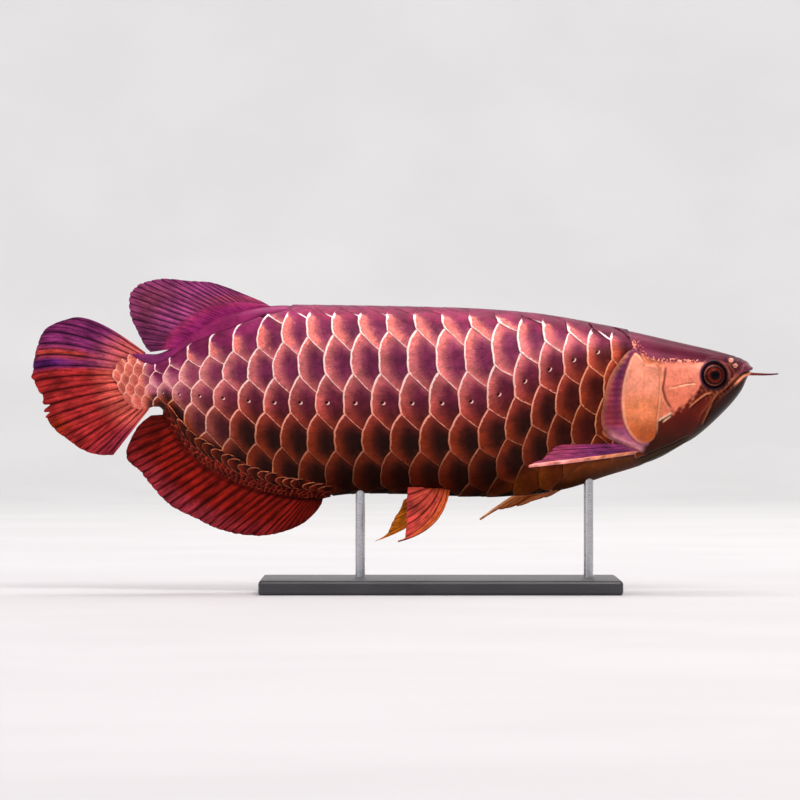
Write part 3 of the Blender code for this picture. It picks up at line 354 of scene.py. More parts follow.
def skin_material():
    """Smooth wet skin of the head, mottled, over the tint of each region."""
    made, tree, shader = material("arowana_skin", 0.4, Metallic=0.25, Specular_IOR_Level=0.1,
                                  Coat_Weight=0.04, Coat_Roughness=0.2)
    tint = attribute(tree, "tint", True)
    broad = noise(tree, 70, 4)
    fine = noise(tree, 420, 5, rough=0.65)
    speck = noise(tree, 1500, 3)
    shade = calculate(tree, "MULTIPLY", remap(tree, broad, 0.3, 0.7, 0.78, 1.16),
                      remap(tree, fine, 0.3, 0.72, 0.84, 1.14))
    shade = calculate(tree, "MULTIPLY", shade, remap(tree, speck, 0.3, 0.7, 0.9, 1.08))
    colour = node(tree, "ShaderNodeVectorMath", {0: tint, 1: (1, 1, 1)}, operation="SCALE")
    tree.links.new(shade, colour.inputs["Scale"])
    fleck = attribute(tree, "fleck")
    grain = noise(tree, 520, 4, rough=0.6)
    patch = calculate(tree, "ADD", grain, calculate(tree, "MULTIPLY", fleck, 0.26))
    patch = calculate(tree, "MULTIPLY", remap(tree, patch, 0.74, 0.8),
                      remap(tree, fleck, 0.05, 0.3))
    dark = calculate(tree, "MULTIPLY", remap(tree, grain, 0.5, 0.4), fleck)
    colour = mix(tree, calculate(tree, "MULTIPLY", dark, 0.8), colour.outputs[0],
                 tuple(rgb("6a1a14")))
    colour = mix(tree, patch, colour, tuple(rgb("f0917a")))
    link(tree, colour, shader, "Base Color")
    link(tree, remap(tree, fine, 0.3, 0.7, 0.3, 0.46), shader, "Roughness")
    height = calculate(tree, "ADD", calculate(tree, "MULTIPLY", fine, 0.6),
                       calculate(tree, "MULTIPLY", speck, 0.35))
    height = calculate(tree, "ADD", height, calculate(tree, "MULTIPLY", patch, 0.8))
    bump(tree, shader, height, 0.0004, 0.55)
    return made


def scale_material():
    """A bony scale: dark centre (partly painted shadow), fine rays to the rim, bright rim (partly painted
    light on the upper rows) and flaky patches.
    """
    made, tree, shader = material("arowana_scale", 0.38, Metallic=0.45, Specular_IOR_Level=0.1,
                                  Coat_Weight=0.03, Coat_Roughness=0.25)
    tint = attribute(tree, "tint", True)
    edge = attribute(tree, "edge")
    ray = attribute(tree, "ray")
    broad = noise(tree, 95, 4)
    fine = noise(tree, 620, 5, rough=0.7)
    speck = noise(tree, 1700, 2)
    combine = node(tree, "ShaderNodeCombineXYZ", {"X": calculate(tree, "MULTIPLY", ray, 1.5),
                                                  "Y": calculate(tree, "MULTIPLY", edge, 0.16),
                                                  "Z": attribute(tree, "seed")})
    streak = noise(tree, 1.0, 4, combine.outputs[0], 0.6)
    rings = node(tree, "ShaderNodeTexWave",
                 {"Vector": node(tree, "ShaderNodeCombineXYZ", {"X": edge}).outputs[0],
                  "Scale": 0.55, "Distortion": 1.2, "Detail": 2.0}).outputs["Fac"]
    shade = calculate(tree, "MULTIPLY", remap(tree, broad, 0.3, 0.7, 0.72, 1.25),
                      remap(tree, streak, 0.3, 0.7, 0.72, 1.22))
    shade = calculate(tree, "MULTIPLY", shade, remap(tree, fine, 0.3, 0.7, 0.85, 1.15))
    colour = node(tree, "ShaderNodeVectorMath", {0: tint}, operation="SCALE")
    tree.links.new(shade, colour.inputs["Scale"])
    flake = attribute(tree, "flake")
    ragged = calculate(tree, "ADD", noise(tree, 230, 5, rough=0.65),
                       calculate(tree, "MULTIPLY", flake, 0.5))
    patch = calculate(tree, "MULTIPLY", remap(tree, ragged, 0.68, 0.84),
                      remap(tree, flake, 0.02, 0.25))
    patch = calculate(tree, "MULTIPLY", patch, remap(tree, edge, 3.0, 9.5, 0.85, 0.15))
    salmon = mix(tree, remap(tree, fine, 0.35, 0.65), tuple(rgb("d0564e")),
                 tuple(rgb("f48e7e")))
    colour = mix(tree, patch, colour.outputs[0], salmon)
    wobble = remap(tree, noise(tree, 500, 3), 0.3, 0.7, -0.35, 0.35)
    near = calculate(tree, "DIVIDE", calculate(tree, "ADD", edge, wobble),
                     attribute(tree, "rim_width"))
    rim = remap(tree, near, 0.75, 1.15, 1.0, 0.0)
    colour = mix(tree, rim, colour, attribute(tree, "rim_tint", True))
    link(tree, colour, shader, "Base Color")
    link(tree, remap(tree, fine, 0.3, 0.7, 0.28, 0.45), shader, "Roughness")
    height = calculate(tree, "ADD", calculate(tree, "MULTIPLY", streak, 0.8),
                       calculate(tree, "MULTIPLY", rings, 0.12))
    height = calculate(tree, "ADD", height, calculate(tree, "MULTIPLY", speck, 0.18))
    height = calculate(tree, "ADD", height, calculate(tree, "MULTIPLY", patch, 0.5))
    bump(tree, shader, height, 0.0005, 0.6)
    return made


def fin_material():
    """Fin rays and membrane, streaked along the rays and jointed across them."""
    made, tree, shader = material("arowana_fin", 0.5, Metallic=0.2, Specular_IOR_Level=0.04)
    tint = attribute(tree, "tint", True)
    across = attribute(tree, "across")
    along = attribute(tree, "along")
    ridge = attribute(tree, "ridge")
    combine = node(tree, "ShaderNodeCombineXYZ", {"X": calculate(tree, "MULTIPLY", across, 3.1),
                                                  "Y": calculate(tree, "MULTIPLY", along, 0.07)})
    streak = noise(tree, 1.0, 4, combine.outputs[0], 0.62)
    broad = noise(tree, 60, 4)
    fine = noise(tree, 900, 3)
    joints = node(tree, "ShaderNodeTexWave",
                  {"Vector": node(tree, "ShaderNodeCombineXYZ", {"X": along}).outputs[0],
                   "Scale": 0.16, "Distortion": 0.6, "Detail": 1.0}).outputs["Fac"]
    joints = calculate(tree, "MULTIPLY", remap(tree, joints, 0.7, 1.0), ridge)
    shade = calculate(tree, "MULTIPLY", remap(tree, streak, 0.32, 0.68, 0.55, 1.5),
                      remap(tree, broad, 0.3, 0.7, 0.75, 1.25))
    shade = calculate(tree, "MULTIPLY", shade, remap(tree, joints, 0, 1, 1.0, 0.86))
    shade = calculate(tree, "MULTIPLY", shade, remap(tree, fine, 0.3, 0.7, 0.9, 1.1))
    colour = node(tree, "ShaderNodeVectorMath", {0: tint}, operation="SCALE")
    tree.links.new(shade, colour.inputs["Scale"])
    link(tree, colour.outputs[0], shader, "Base Color")
    link(tree, remap(tree, streak, 0.3, 0.7, 0.36, 0.52), shader, "Roughness")
    height = calculate(tree, "SUBTRACT", calculate(tree, "MULTIPLY", streak, 0.8),
                       calculate(tree, "MULTIPLY", joints, 0.5))
    bump(tree, shader, height, 0.0005, 0.6)
    return made


def eye_material():
    """Iris with fine radial threads, under a wet, glossy surface."""
    made, tree, shader = material("arowana_eye", 0.3, Specular_IOR_Level=0.04,
                                  Coat_Weight=0.05, Coat_Roughness=0.04)
    tint = attribute(tree, "tint", True)
    combine = node(tree, "ShaderNodeCombineXYZ", {
        "X": calculate(tree, "MULTIPLY", attribute(tree, "turn"), 9.0),
        "Y": calculate(tree, "MULTIPLY", attribute(tree, "reach"), 0.5)})
    threads = noise(tree, 1.0, 4, combine.outputs[0], 0.6)
    shade = calculate(tree, "MULTIPLY", remap(tree, threads, 0.3, 0.7, 0.65, 1.35),
                      remap(tree, noise(tree, 700, 3), 0.3, 0.7, 0.85, 1.15))
    colour = node(tree, "ShaderNodeVectorMath", {0: tint}, operation="SCALE")
    tree.links.new(shade, colour.inputs["Scale"])
    link(tree, colour.outputs[0], shader, "Base Color")
    return made


# ------------------------------------------------------------------ distances in side view

def line_distance(s, h, path):
    """Distance to a path of (s, h) points, + above it, and the share along it."""
    path = np.array(path, float)
    lengths = np.linalg.norm(np.diff(path, axis=0), axis=1)
    ends = np.concatenate(([0], np.cumsum(lengths)))
    best = np.full(np.shape(s), 1e9)
    share = np.zeros(np.shape(s))
    sign = np.ones(np.shape(s))
    for n, ((s0, h0), (s1, h1)) in enumerate(zip(path, path[1:])):
        run_s, run_h = s1 - s0, h1 - h0
        t = np.clip(((s - s0) * run_s + (h - h0) * run_h) / lengths[n] ** 2, 0, 1)
        away_s, away_h = s - s0 - run_s * t, h - h0 - run_h * t
        away = np.hypot(away_s, away_h)
        nearer = away < best
        best = np.where(nearer, away, best)
        share = np.where(nearer, (ends[n] + t * lengths[n]) / ends[-1], share)
        sign = np.where(nearer, np.sign(run_s * away_h - run_h * away_s), sign)
    return best * sign, share


def closed_curve(points, steps=5):
    """Smooth closed outline through (s, h) points."""
    count = len(points)
    outline = []
    for i in range(count):
        p0, p1, p2, p3 = (np.array(points[(i + k - 1) % count], float) for k in range(4))
        for step in range(steps):
            t = step / steps
            outline.append(0.5 * (2 * p1 + (p2 - p0) * t + (2 * p0 - 5 * p1 + 4 * p2 - p3) * t ** 2
                                  + (3 * p1 - p0 - 3 * p2 + p3) * t ** 3))
    return np.array(outline)


def open_curve(points, steps=8):
    """Smooth open path through points of any size."""
    points = [np.array(p, float) for p in points]
    padded = [2 * points[0] - points[1]] + points + [2 * points[-1] - points[-2]]
    path = []
    for p0, p1, p2, p3 in zip(padded, padded[1:], padded[2:], padded[3:]):
        for step in range(steps):
            t = step / steps
            path.append(0.5 * (2 * p1 + (p2 - p0) * t + (2 * p0 - 5 * p1 + 4 * p2 - p3) * t ** 2
                               + (3 * p1 - p0 - 3 * p2 + p3) * t ** 3))
    path.append(points[-1])
    return np.array(path)


def inside_distance(s, h, outline):
    """Distance to a closed outline, + inside it."""
    ring = np.concatenate([outline, outline[:1]])
    away = np.abs(line_distance(s, h, ring)[0])
    crossings = np.zeros(np.shape(s), int)
    for (s0, h0), (s1, h1) in zip(ring, ring[1:]):
        spans = (h0 > h) != (h1 > h)
        where = s0 + (h - h0) * (s1 - s0) / (h1 - h0 if h1 != h0 else 1)
        crossings += spans & (s < where)
    return np.where(crossings % 2 == 1, away, -away)


def ridge(distance, width):
    """Rounded ridge across a line."""
    return np.exp(-(distance / width) ** 2)


def tapered(share, ends=0.15):
    """Fade towards both ends of a path."""
    return smooth_step(share, 0, ends) * smooth_step(1 - share, 0, ends)


# ------------------------------------------------------------------ skin

GILL_PLATE = closed_curve(((98.7, 38.5), (88, 30), (78.3, 27.5), (77.8, 4), (80, -17),
                           (81.5, -31), (89.9, -36), (99.5, -32), (107, -20), (109.6, -3),
                           (107.5, 18)))
GILL_FLAP = closed_curve(((96, 41.5), (103, 41), (112.6, 30.5), (120.7, 16.7), (124.3, 1.2),
                          (126.7, -15), (124.5, -25), (114, -32), (100, -36.5), (90, -38),
                          (86, -33), (92, 0), (91, 28)))
HEAD_FRONT = np.array(((-5, 90), (103, 90), (103, 60), (100, 42), (97, 30), (97, -30),
                       (88, -44), (84, -60), (78, -90), (-5, -90)))
MOUTH_LINE = open_curve(((0.2, 24.5), (3.5, 23.3), (8.4, 21.3), (15, 15), (24, 6.6),
                         (32.6, -1.7), (39.5, -10.5), (44.5, -19), (48.5, -25.5)), 4)
EYE_PLACE = (31.8, 20.5)
EYE_RADIUS = 10.8
EYE_THICKNESS = 7.2
EYE_PROUD = 2.5
PECTORAL_PAD = ((122, -27), (112, -32), (100, -37.5), (88, -41.5))
CHEEK_TOP = ((44, 31.5), (62, 31.8), (74.5, 31.8), (84, 33), (93, 39), (100, 43))
CHEEK_SEAM = ((45.2, 14.2), (55, 13.5), (66, 11), (74, 9.8))
CHEEK_REAR = ((73, 30), (74.2, 20), (75.9, 9.2), (73.6, 0.3), (70.5, -5), (66.5, -9.6))
CHEEK_LOWER = ((36, 22), (41, 15.5), (45, 9.5), (50, 3.5), (54, -1.5), (59, -5), (67.5, -10))
EYE_FOLD = ((33, 5.4), (38.5, 4.2), (43, 1), (49.6, -4.2), (53, -8))
JAW_FOLD = ((27, 8), (31, 2), (36.1, -8.6), (38.5, -14), (41.8, -21.5))
FORK_UPPER = ((66.4, -9.8), (72, -13), (79.5, -17.6))
FORK_LOWER = ((67.5, -13.1), (71, -15.2), (75.3, -18.7))
PREOPERCLE = ((78.6, 31.5), (77.2, 22), (76.9, 8), (78, -6), (79.3, -17.6), (79.6, -30))
THROAT_LINES = (((52, -29), (66, -36), (84, -43), (98, -50)),
                ((50, -33), (64, -41), (80, -48.5), (94, -55)))
SKIN_SINK = 1.7
# Levels where the scales give way to smooth skin: under the dorsal fin, and on the front belly
BARE_BACK = ((380, 84), (388, 75), (398, 72.5), (410, 70.5), (430, 61.5), (453, 53), (469, 46.5),
             (485, 35.5), (498, 29.5), (508, 31), (516, 36), (522, 42))
BARE_BELLY = ((60, -36), (95, -46), (150, -52), (188, -58), (200, -67), (215, -75), (232, -84))


def head_cover(s, h):
    """How far a point lies inside the head's smooth skin, - where the scales are."""
    flap = inside_distance(s, h, GILL_FLAP)
    plate = inside_distance(s, h, GILL_PLATE)
    front = inside_distance(s, h, HEAD_FRONT)
    pad = 4.4 - np.abs(line_distance(s, h, PECTORAL_PAD)[0])
    belly = bare_belly(s, h) - 1 - 40 * smooth_step(s, 135, 200)
    return np.max([flap, plate, front, pad, belly], 0)


def bare_back(s, h):
    """Height over the line where the scales end below the dorsal fin."""
    return h - np.interp(s, *np.array(BARE_BACK).T)


def bare_belly(s, h):
    """Depth under the line where the scales end on the front of the belly."""
    return np.interp(s, *np.array(BARE_BELLY).T) - h


def skin_relief(s, h, y):
    """Height of the skin's forms over the body's section, in millimetres."""
    outward = smooth_step(np.abs(y) / np.maximum(breadth_at(s), 1), 0.25, 0.6)
    cover = head_cover(s, h)
    smooth = np.maximum(smooth_step(cover, -0.9, 0.5), smooth_step(bare_back(s, h), -1, 1.5))
    rise = -SKIN_SINK * (1 - smooth)
    plate = inside_distance(s, h, GILL_PLATE)
    flap = inside_distance(s, h, GILL_FLAP)
    rise = rise + 1.3 * smooth_step(flap, -0.7, 0.6)
    fan = np.sin(h * 1.35 + 0.05 * s) + 0.5 * np.sin(h * 3.3 + 1.0)
    rise += 0.16 * fan * smooth_step(flap, 0.5, 3) * smooth_step(-plate, 0.3, 2)
    rise += 1.1 * smooth_step(plate, -0.8, 1.3) + 0.35 * ridge(plate - 1.6, 1.0)
    rise -= 0.5 * ridge(plate + 0.9, 0.7) * smooth_step(flap, -1, 1)
    # Cheek plates, their seam and the ridges between them and the gill plate
    seam, along = line_distance(s, h, CHEEK_SEAM)
    rise += (-0.45 * ridge(seam, 0.55) + 0.3 * ridge(seam + 1.2, 0.8)) * tapered(along) * outward
    rear, along = line_distance(s, h, CHEEK_REAR)
    rise += (0.65 * ridge(rear - 1.0, 1.0) - 0.9 * ridge(rear + 1.0, 0.8)) * tapered(along) * outward
    guard, along = line_distance(s, h, PREOPERCLE)
    rise += 0.75 * ridge(guard, 1.1) * tapered(along) * outward
    for fork in (FORK_UPPER, FORK_LOWER):
        away, along = line_distance(s, h, fork)
        rise += 0.9 * ridge(away, 0.8) * tapered(along) * outward
    lower, along = line_distance(s, h, CHEEK_LOWER)
    rise += 0.45 * smooth_step(lower, -1.4, 1.4) * tapered(along, 0.1) * ridge(lower, 9) * outward
    fold, along = line_distance(s, h, EYE_FOLD)
    rise += (0.8 * ridge(fold - 0.9, 0.9) - 0.8 * ridge(fold + 0.7, 0.8)) * tapered(along) * outward
    jaw, along = line_distance(s, h, JAW_FOLD)
    rise += (0.9 * ridge(jaw - 0.8, 0.9) - 0.9 * ridge(jaw + 0.9, 0.9)) * tapered(along) * outward
    top, along = line_distance(s, h, CHEEK_TOP)
    rise += 0.5 * ridge(top, 1.6) * tapered(along) * outward
    for path in THROAT_LINES:
        away, along = line_distance(s, h, path)
        rise += (0.5 * ridge(away - 0.9, 0.9) - 0.6 * ridge(away + 0.6, 0.7)) * tapered(along)
    pad, along = line_distance(s, h, PECTORAL_PAD)
    rise += 2.2 * ridge(pad, 3.4) * tapered(along, 0.3) * outward
    # Lips round the slit of the mouth, and the groove behind the upper lip
    mouth, along = line_distance(s, h, MOUTH_LINE)
    firm = 1 - smooth_step(along, 0.72, 1.0)
    rise += (1.5 * ridge(mouth - 2.0, 1.35) + 1.5 * ridge(mouth + 1.5, 1.1)
             - 2.2 * ridge(mouth, 0.5)) * firm * (1 - 0.55 * smooth_step(along, 0.3, 0.5))
    rise += 0.8 * ridge(np.hypot(s - 5.4, (h - 28.4) * 0.8), 3.0)
    groove, along = line_distance(s, h, ((13.5, 23), (9.5, 27.5), (6.3, 31)))
    rise += (0.9 * ridge(groove - 2.2, 1.5) - 1.3 * ridge(groove, 0.7)) * tapered(along, 0.3)
    # Orbit: the skin dips behind the eyeball, inside a raised ring
    eye = np.hypot(s - EYE_PLACE[0], h - EYE_PLACE[1])
    rise = rise * smooth_step(eye, 8, 13)
    rise += 0.9 * ridge(eye - 11.9, 0.9) + 0.35 * ridge(eye - 14.4, 0.9)
    rise -= 5.5 * (1 - smooth_step(eye, 8.8, 11.3))
    for (ns, nh), size in (((14.0, 28.6), 1.0), ((17.6, 32.8), 1.1)):
        hole = np.hypot(s - ns, h - nh)
        rise += 0.7 * ridge(hole - size * 1.5, 0.7) * outward
        rise -= 2.0 * (1 - smooth_step(hole, size * 0.5, size * 1.25))
    rise += 0.22 * np.sin(s * 0.9 + h * 0.35) * ridge(np.hypot(s - 12, (h - 33) * 2), 9)
    return rise


def skin_colours(s, h, y):
    """Tint of the skin by region, with painted highlights and painted shade on its folds, lips, nostrils,
    orbit and belly, and where it is flecked.
    """
    top = rgb("5c142c")
    tint = np.zeros((*np.shape(s), 3)) + top
    tint = blend(tint, rgb("400a12"), smooth_step(-s, -36, -8))
    tint = blend(tint, rgb("782644"), smooth_step(s, 60, 110))
    level = np.interp(s, (0, 20, 44, 74, 84, 93, 100), (27, 30.5, 31.5, 31.8, 33, 39, 43))
    below = smooth_step(level - h, -0.6, 1.2)
    lower_cheek = line_distance(s, h, CHEEK_LOWER)[0]
    cheek = blend(rgb("fa8c72"), rgb("e6785a"), smooth_step(-h, -24, 4))
    cheek = blend(cheek, rgb("e07e58"), smooth_step(s, 72, 80))
    tint = blend(tint, cheek, below)
    brown = blend(rgb("5e150a"), rgb("3c1206"), smooth_step(-h, 10, 38))
    uneven = 1.3 * np.sin(s * 1.1 + h * 0.4) + 0.9 * np.sin(s * 0.5 - h * 1.3)
    under = smooth_step(-lower_cheek + uneven, -1.6, 3.2)
    under = np.maximum(under, smooth_step(-h, 12, 20) * smooth_step(-s, -80, -74))
    tint = blend(tint, brown, under * below)
    front = smooth_step(-s, -46, -36) * smooth_step(h, -4, 6) * below
    tint = blend(tint, rgb("4a1412"), front * 0.9)
    streaks = (0.5 + 0.5 * np.sin((s - 0.45 * h) * 1.5 + 1.4 * np.sin(h * 0.6))) ** 3
    tint = blend(tint, rgb("b05a34"), streaks * front * 0.5)
    snout = smooth_step(-s, -22, -8) * smooth_step(h, 14, 22)
    tint = blend(tint, rgb("50202c"), snout * 0.8)
    jaw_line = line_distance(s, h, MOUTH_LINE)[0]
    chin = smooth_step(-jaw_line, 0, 2.5) * smooth_step(-s, -60, -44)
    tint = blend(tint, rgb("2a0803"), chin * 0.9)
    tint = blend(tint, rgb("200703"), smooth_step(-jaw_line, 3, 9) * smooth_step(-s, -60, -44))
    throat = smooth_step(-(h - np.interp(s, (0, 49, 84, 130), (2, -24, -40, -48))), 0, 9)
    tint = blend(tint, rgb("30200c"), throat)
    # Belly below the pectoral fin, darker towards the keel: painted shade on the underside, over the belly's
    # own brown
    under_fin = blend(rgb("421c08"), rgb("8e4214"), smooth_step(h - belly_at(s), 2, 18))
    lines = ridge(np.sin((s - 0.4 * h) * 0.21), 0.15)
    under_fin = blend(under_fin, rgb("6a3010"), lines * 0.5)
    tint = blend(tint, under_fin, smooth_step(s, 84, 104) * smooth_step(bare_belly(s, h), -3, 2))
    flap = inside_distance(s, h, GILL_FLAP)
    plate = inside_distance(s, h, GILL_PLATE)
    web = blend(rgb("92263e"), rgb("b84a58"), 0.5 + 0.5 * np.sin(h * 1.35 + 0.05 * s))
    web = blend(web, rgb("9a5a86"), smooth_step(-h, 18, 30))
    web = blend(web, rgb("7c3050"), smooth_step(h, 8, 24) * 0.7)
    web = blend(web, rgb("481c44"), ridge(plate + 4.5, 3.4) * smooth_step(h, -24, -10) * 0.75)
    web = blend(web, rgb("b4664c"), smooth_step(-flap, -6, -1) * smooth_step(s, 100, 108) * 0.85)
    web = blend(web, rgb("6a1e2c"), smooth_step(-h, -2, 10) * smooth_step(-h, 24, 10) * 0.6)
    tint = blend(tint, web, smooth_step(flap, -0.6, 0.4) * smooth_step(s, 82, 90))
    tint = blend(tint, rgb("c07a60"), ridge(flap - 0.3, 0.8) * smooth_step(s, 100, 108) * 0.55)
    bone = blend(rgb("fc9a7c"), rgb("ec8658"), smooth_step(-h, -14, 6))
    bone = blend(bone, rgb("c86030"), smooth_step(-h, 8, 28))
    bone = blend(bone, rgb("fbb090"), ridge(plate - 1.0, 1.2) * smooth_step(s, 86, 96) * 0.85)
    bone = blend(bone, rgb("b04a2c"), ridge(plate - 0.4, 0.8) * smooth_step(-s, -84, -80) * 0.7)
    tint = blend(tint, bone, smooth_step(plate, -0.4, 0.5))
    # Painted highlights and painted shade: a bright line on the ridge of each fold and plate edge, and a dark
    # line in the groove beside it
    for path, width, shift, code, strength in (
            (CHEEK_SEAM, 0.55, -0.7, "ffb489", 0.9), (CHEEK_SEAM, 0.45, 0.3, "7a2414", 0.7),
            (CHEEK_REAR, 0.7, 0.9, "ffa888", 0.7), (CHEEK_REAR, 0.9, -1.1, "4a100a", 0.85),
            (PREOPERCLE, 0.7, 0.2, "f2a679", 0.7), (FORK_UPPER, 0.7, 0, "ffd0b0", 0.9),
            (FORK_LOWER, 0.6, 0, "ffc6a4", 0.8), (EYE_FOLD, 0.7, 0.9, "f08c5c", 0.8),
            (EYE_FOLD, 0.8, -0.8, "3a0c08", 0.8), (JAW_FOLD, 0.8, 0.8, "b0683a", 0.5),
            (JAW_FOLD, 0.9, -1.0, "300e06", 0.8), (CHEEK_LOWER, 0.8, -0.9, "501008", 0.5)):
        away, along = line_distance(s, h, path)
        tint = blend(tint, rgb(code), ridge(away - shift, width) * tapered(along) * strength)
    pad, along = line_distance(s, h, PECTORAL_PAD)
    tint = blend(tint, rgb("a8445c"), ridge(pad, 5.5) * tapered(along, 0.25))
    # Painted highlight along the crest of the pad's bulge
    tint = blend(tint, rgb("f4a8b0"), ridge(pad - 0.8, 3.0) * tapered(along, 0.2) * 0.95)
    # Painted shade: a dark line in the groove of each throat fold
    for path in THROAT_LINES:
        away, along = line_distance(s, h, path)
        tint = blend(tint, rgb("120a04"), ridge(away + 0.6, 0.8) * tapered(along) * 0.7)
    mouth, along = line_distance(s, h, MOUTH_LINE)
    firm = 1 - smooth_step(along, 0.7, 0.95)
    lip = blend(rgb("6a2c40") + np.zeros_like(tint), rgb("8a4426"), smooth_step(along, 0.1, 0.22))
    tint = blend(tint, lip, ridge(mouth - 2.0, 1.5) * firm * (0.9 - 0.5 * smooth_step(along, 0.25, 0.4)))
    # Painted highlight along the lower lip
    tint = blend(tint, rgb("ff9c74"), ridge(mouth + 1.6, 1.4) * (1 - smooth_step(along, 0.2, 0.32)))
    # Painted shade in the slit of the mouth
    tint = blend(tint, rgb("180a0c"), ridge(mouth, 0.5) * (1 - 0.7 * smooth_step(along, 0.25, 0.45))
                 * (1 - smooth_step(along, 0.75, 0.95)))
    # Painted highlight on the rounded lobe at the tip of the upper lip
    lobe = ridge(np.hypot(s - 5.4, (h - 28.4) * 0.8), 3.4)
    tint = blend(tint, rgb("7a3a4c"), lobe * 0.7)
    eye = np.hypot(s - EYE_PLACE[0], h - EYE_PLACE[1])
    turn = np.arctan2(h - EYE_PLACE[1], s - EYE_PLACE[0])
    # Dark socket round the eyeball: partly its own colour, partly painted shade
    orbit = blend(rgb("200c12") + np.zeros_like(tint), rgb("50304e"), ridge(turn - 0.1, 0.8))
    tint = blend(tint, orbit, 1 - smooth_step(eye, 11.8, 13.4))
    tint = blend(tint, rgb("9c5250"), ridge(eye - 12.4, 0.9) * smooth_step(EYE_PLACE[0] - s, 2, 8)
                 * smooth_step(h - EYE_PLACE[1], -6, 2) * 0.8)
    # Painted highlight: a thin bright arc on the upper rear edge of the orbit
    tint = blend(tint, rgb("f0a088"), ridge(eye - 14.0, 0.6) * ridge(turn - 0.5, 0.4) * 0.7)
    for (ns, nh), size in (((14.0, 28.6), 1.0), ((17.6, 32.8), 1.1)):
        hole = np.hypot(s - ns, h - nh)
        # Painted highlight: a bright spot round each nostril
        tint = blend(tint, rgb("ffb8a0"), 1 - smooth_step(hole, size * 1.3, size * 1.9))
        # Painted shade in the nostril's hole
        hole = np.hypot(s - ns + 0.6, h - nh + 0.4)
        tint = blend(tint, rgb("100808"), 1 - smooth_step(hole, size * 0.4, size * 0.8))
    covered = smooth_step(head_cover(s, h), -1.2, 0.3)
    rear = blend(rgb("3a0e1c") + np.zeros_like(tint), rgb("8a2258"),
                 smooth_step(bare_back(s, h), -1, 1.5))
    rear = blend(rear, rgb("762458"), smooth_step(s, 470, 500) * smooth_step(bare_back(s, h), -1, 1))
    tint = blend(rear, tint, covered)
    flecks = np.maximum(ridge(h - level - 1.2, 2.4) * smooth_step(s, 40, 48),
                        ridge(np.hypot(s - 98, h - 46), 7))
    return tint, np.clip(flecks * covered, 0, 1)


def make_skin():
    """One skin from the snout to the root of the tail fin."""
    stations = np.concatenate([[0, 0.08, 0.22, 0.42, 0.7, 1.05, 1.5, 2.0, 2.6, 3.2],
                               np.arange(3.85, 132, 0.66), np.arange(133, SCALED_END, 4.0),
                               [SCALED_END]])
    half = 150
    turns = np.linspace(-90, 90, half + 1)
    s = np.repeat(stations[:, None], half + 1, 1)
    y, h = section_point(s, np.repeat(turns[None], len(stations), 0))
    right = np.stack([s, -y, h], -1)
    left = np.stack([s, y, h], -1)[:, -2:0:-1]
    ring = np.concatenate([right, left], 1)
    around = ring.shape[1]
    wrapped = np.concatenate([ring[:, -1:], ring, ring[:, :1]], 1)
    turn = np.gradient(wrapped, axis=1)[:, 1:-1]
    run = np.gradient(ring, axis=0)
    run[0] = [0.05, 0, 0]
    normals = unit(np.cross(turn, run))
    middle = ring.mean(1, keepdims=True)
    normals *= np.sign((normals * (ring - middle)).sum(-1).mean())
    flat = ring.reshape(-1, 3)
    rise = skin_relief(flat[:, 0], flat[:, 2], flat[:, 1])
    tint, fleck = skin_colours(flat[:, 0], flat[:, 2], flat[:, 1])
    moved = flat + normals.reshape(-1, 3) * rise[:, None]
    count = len(stations)
    tips = np.array([moved[:around].mean(0), moved[-around:].mean(0)])
    points = np.concatenate([moved, tips])
    tint = np.concatenate([tint, tint[[0, -1]]])
    fleck = np.concatenate([fleck, [0, 0]])
    rows, columns = np.meshgrid(np.arange(count - 1), np.arange(around), indexing="ij")
    a = (rows * around + columns).ravel()
    b = (rows * around + (columns + 1) % around).ravel()
    faces = np.stack([a, a + around, b + around, b], 1).tolist()
    front, rear = count * around, count * around + 1
    last = (count - 1) * around
    faces += [[front, k, (k + 1) % around] for k in range(around)]
    faces += [[rear, last + (k + 1) % around, last + k] for k in range(around)]
    skin = build("skin", to_world(points), faces, skin_material(),
                 {"tint": tint, "fleck": fleck})
    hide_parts("head", "lower_jaw", "trunk", "tail", "gill_cover_left",
                "gill_cover_right")
    return skin


# ------------------------------------------------------------------ scales

SCALE_EDGE = ((-1.0, 3.3), (-0.5, 3.1), (-0.1, 2.85), (0.38, 2.0), (0.74, 1.0), (0.82, 0.5),
              (0.88, 0), (0.9, -0.8), (0.84, -1.2), (0.2, -2.3), (-0.3, -3.0), (-1.0, -3.5))
SCALE_RINGS = np.array((0, 0.01, 0.024, 0.045, 0.075, 0.12, 0.19, 0.29, 0.43, 0.62, 1.0))
SCALE_ROOT = -2.15
SCALE_TIP = 0.92
SCALE_RISE = 1.35
SCALE_THICKNESS = 0.5
BACK_BAND = 9.5
BEAD_RINGS = np.array((0, 0.06, 0.16, 0.32, 0.6, 1.0))


class Form:
    """Places of a plate's points in half columns and quarter rows, and its faces."""

    def __init__(self, edge_points, steps, ring_shares):
        self.edge = open_curve(edge_points, steps)
        root = np.stack([np.full(len(self.edge), SCALE_ROOT),
                         np.linspace(2.2, -2.2, len(self.edge))], 1)
        places = self.edge[None] + (root - self.edge)[None] * ring_shares[:, None, None]
        self.rings, self.across = places.shape[:2]
        self.count = self.rings * self.across
        self.a, self.b = places[..., 0].ravel(), places[..., 1].ravel()
        upper, lower, rim = scale_faces(self.rings, self.across)
        self.faces = np.concatenate([upper, lower, rim])
        # The walls of a plate get a margin of their own in the map, beside its upper face
        walls = np.where(rim < self.count, rim, rim + self.count)
        self.loops = np.concatenate([upper, lower, walls])


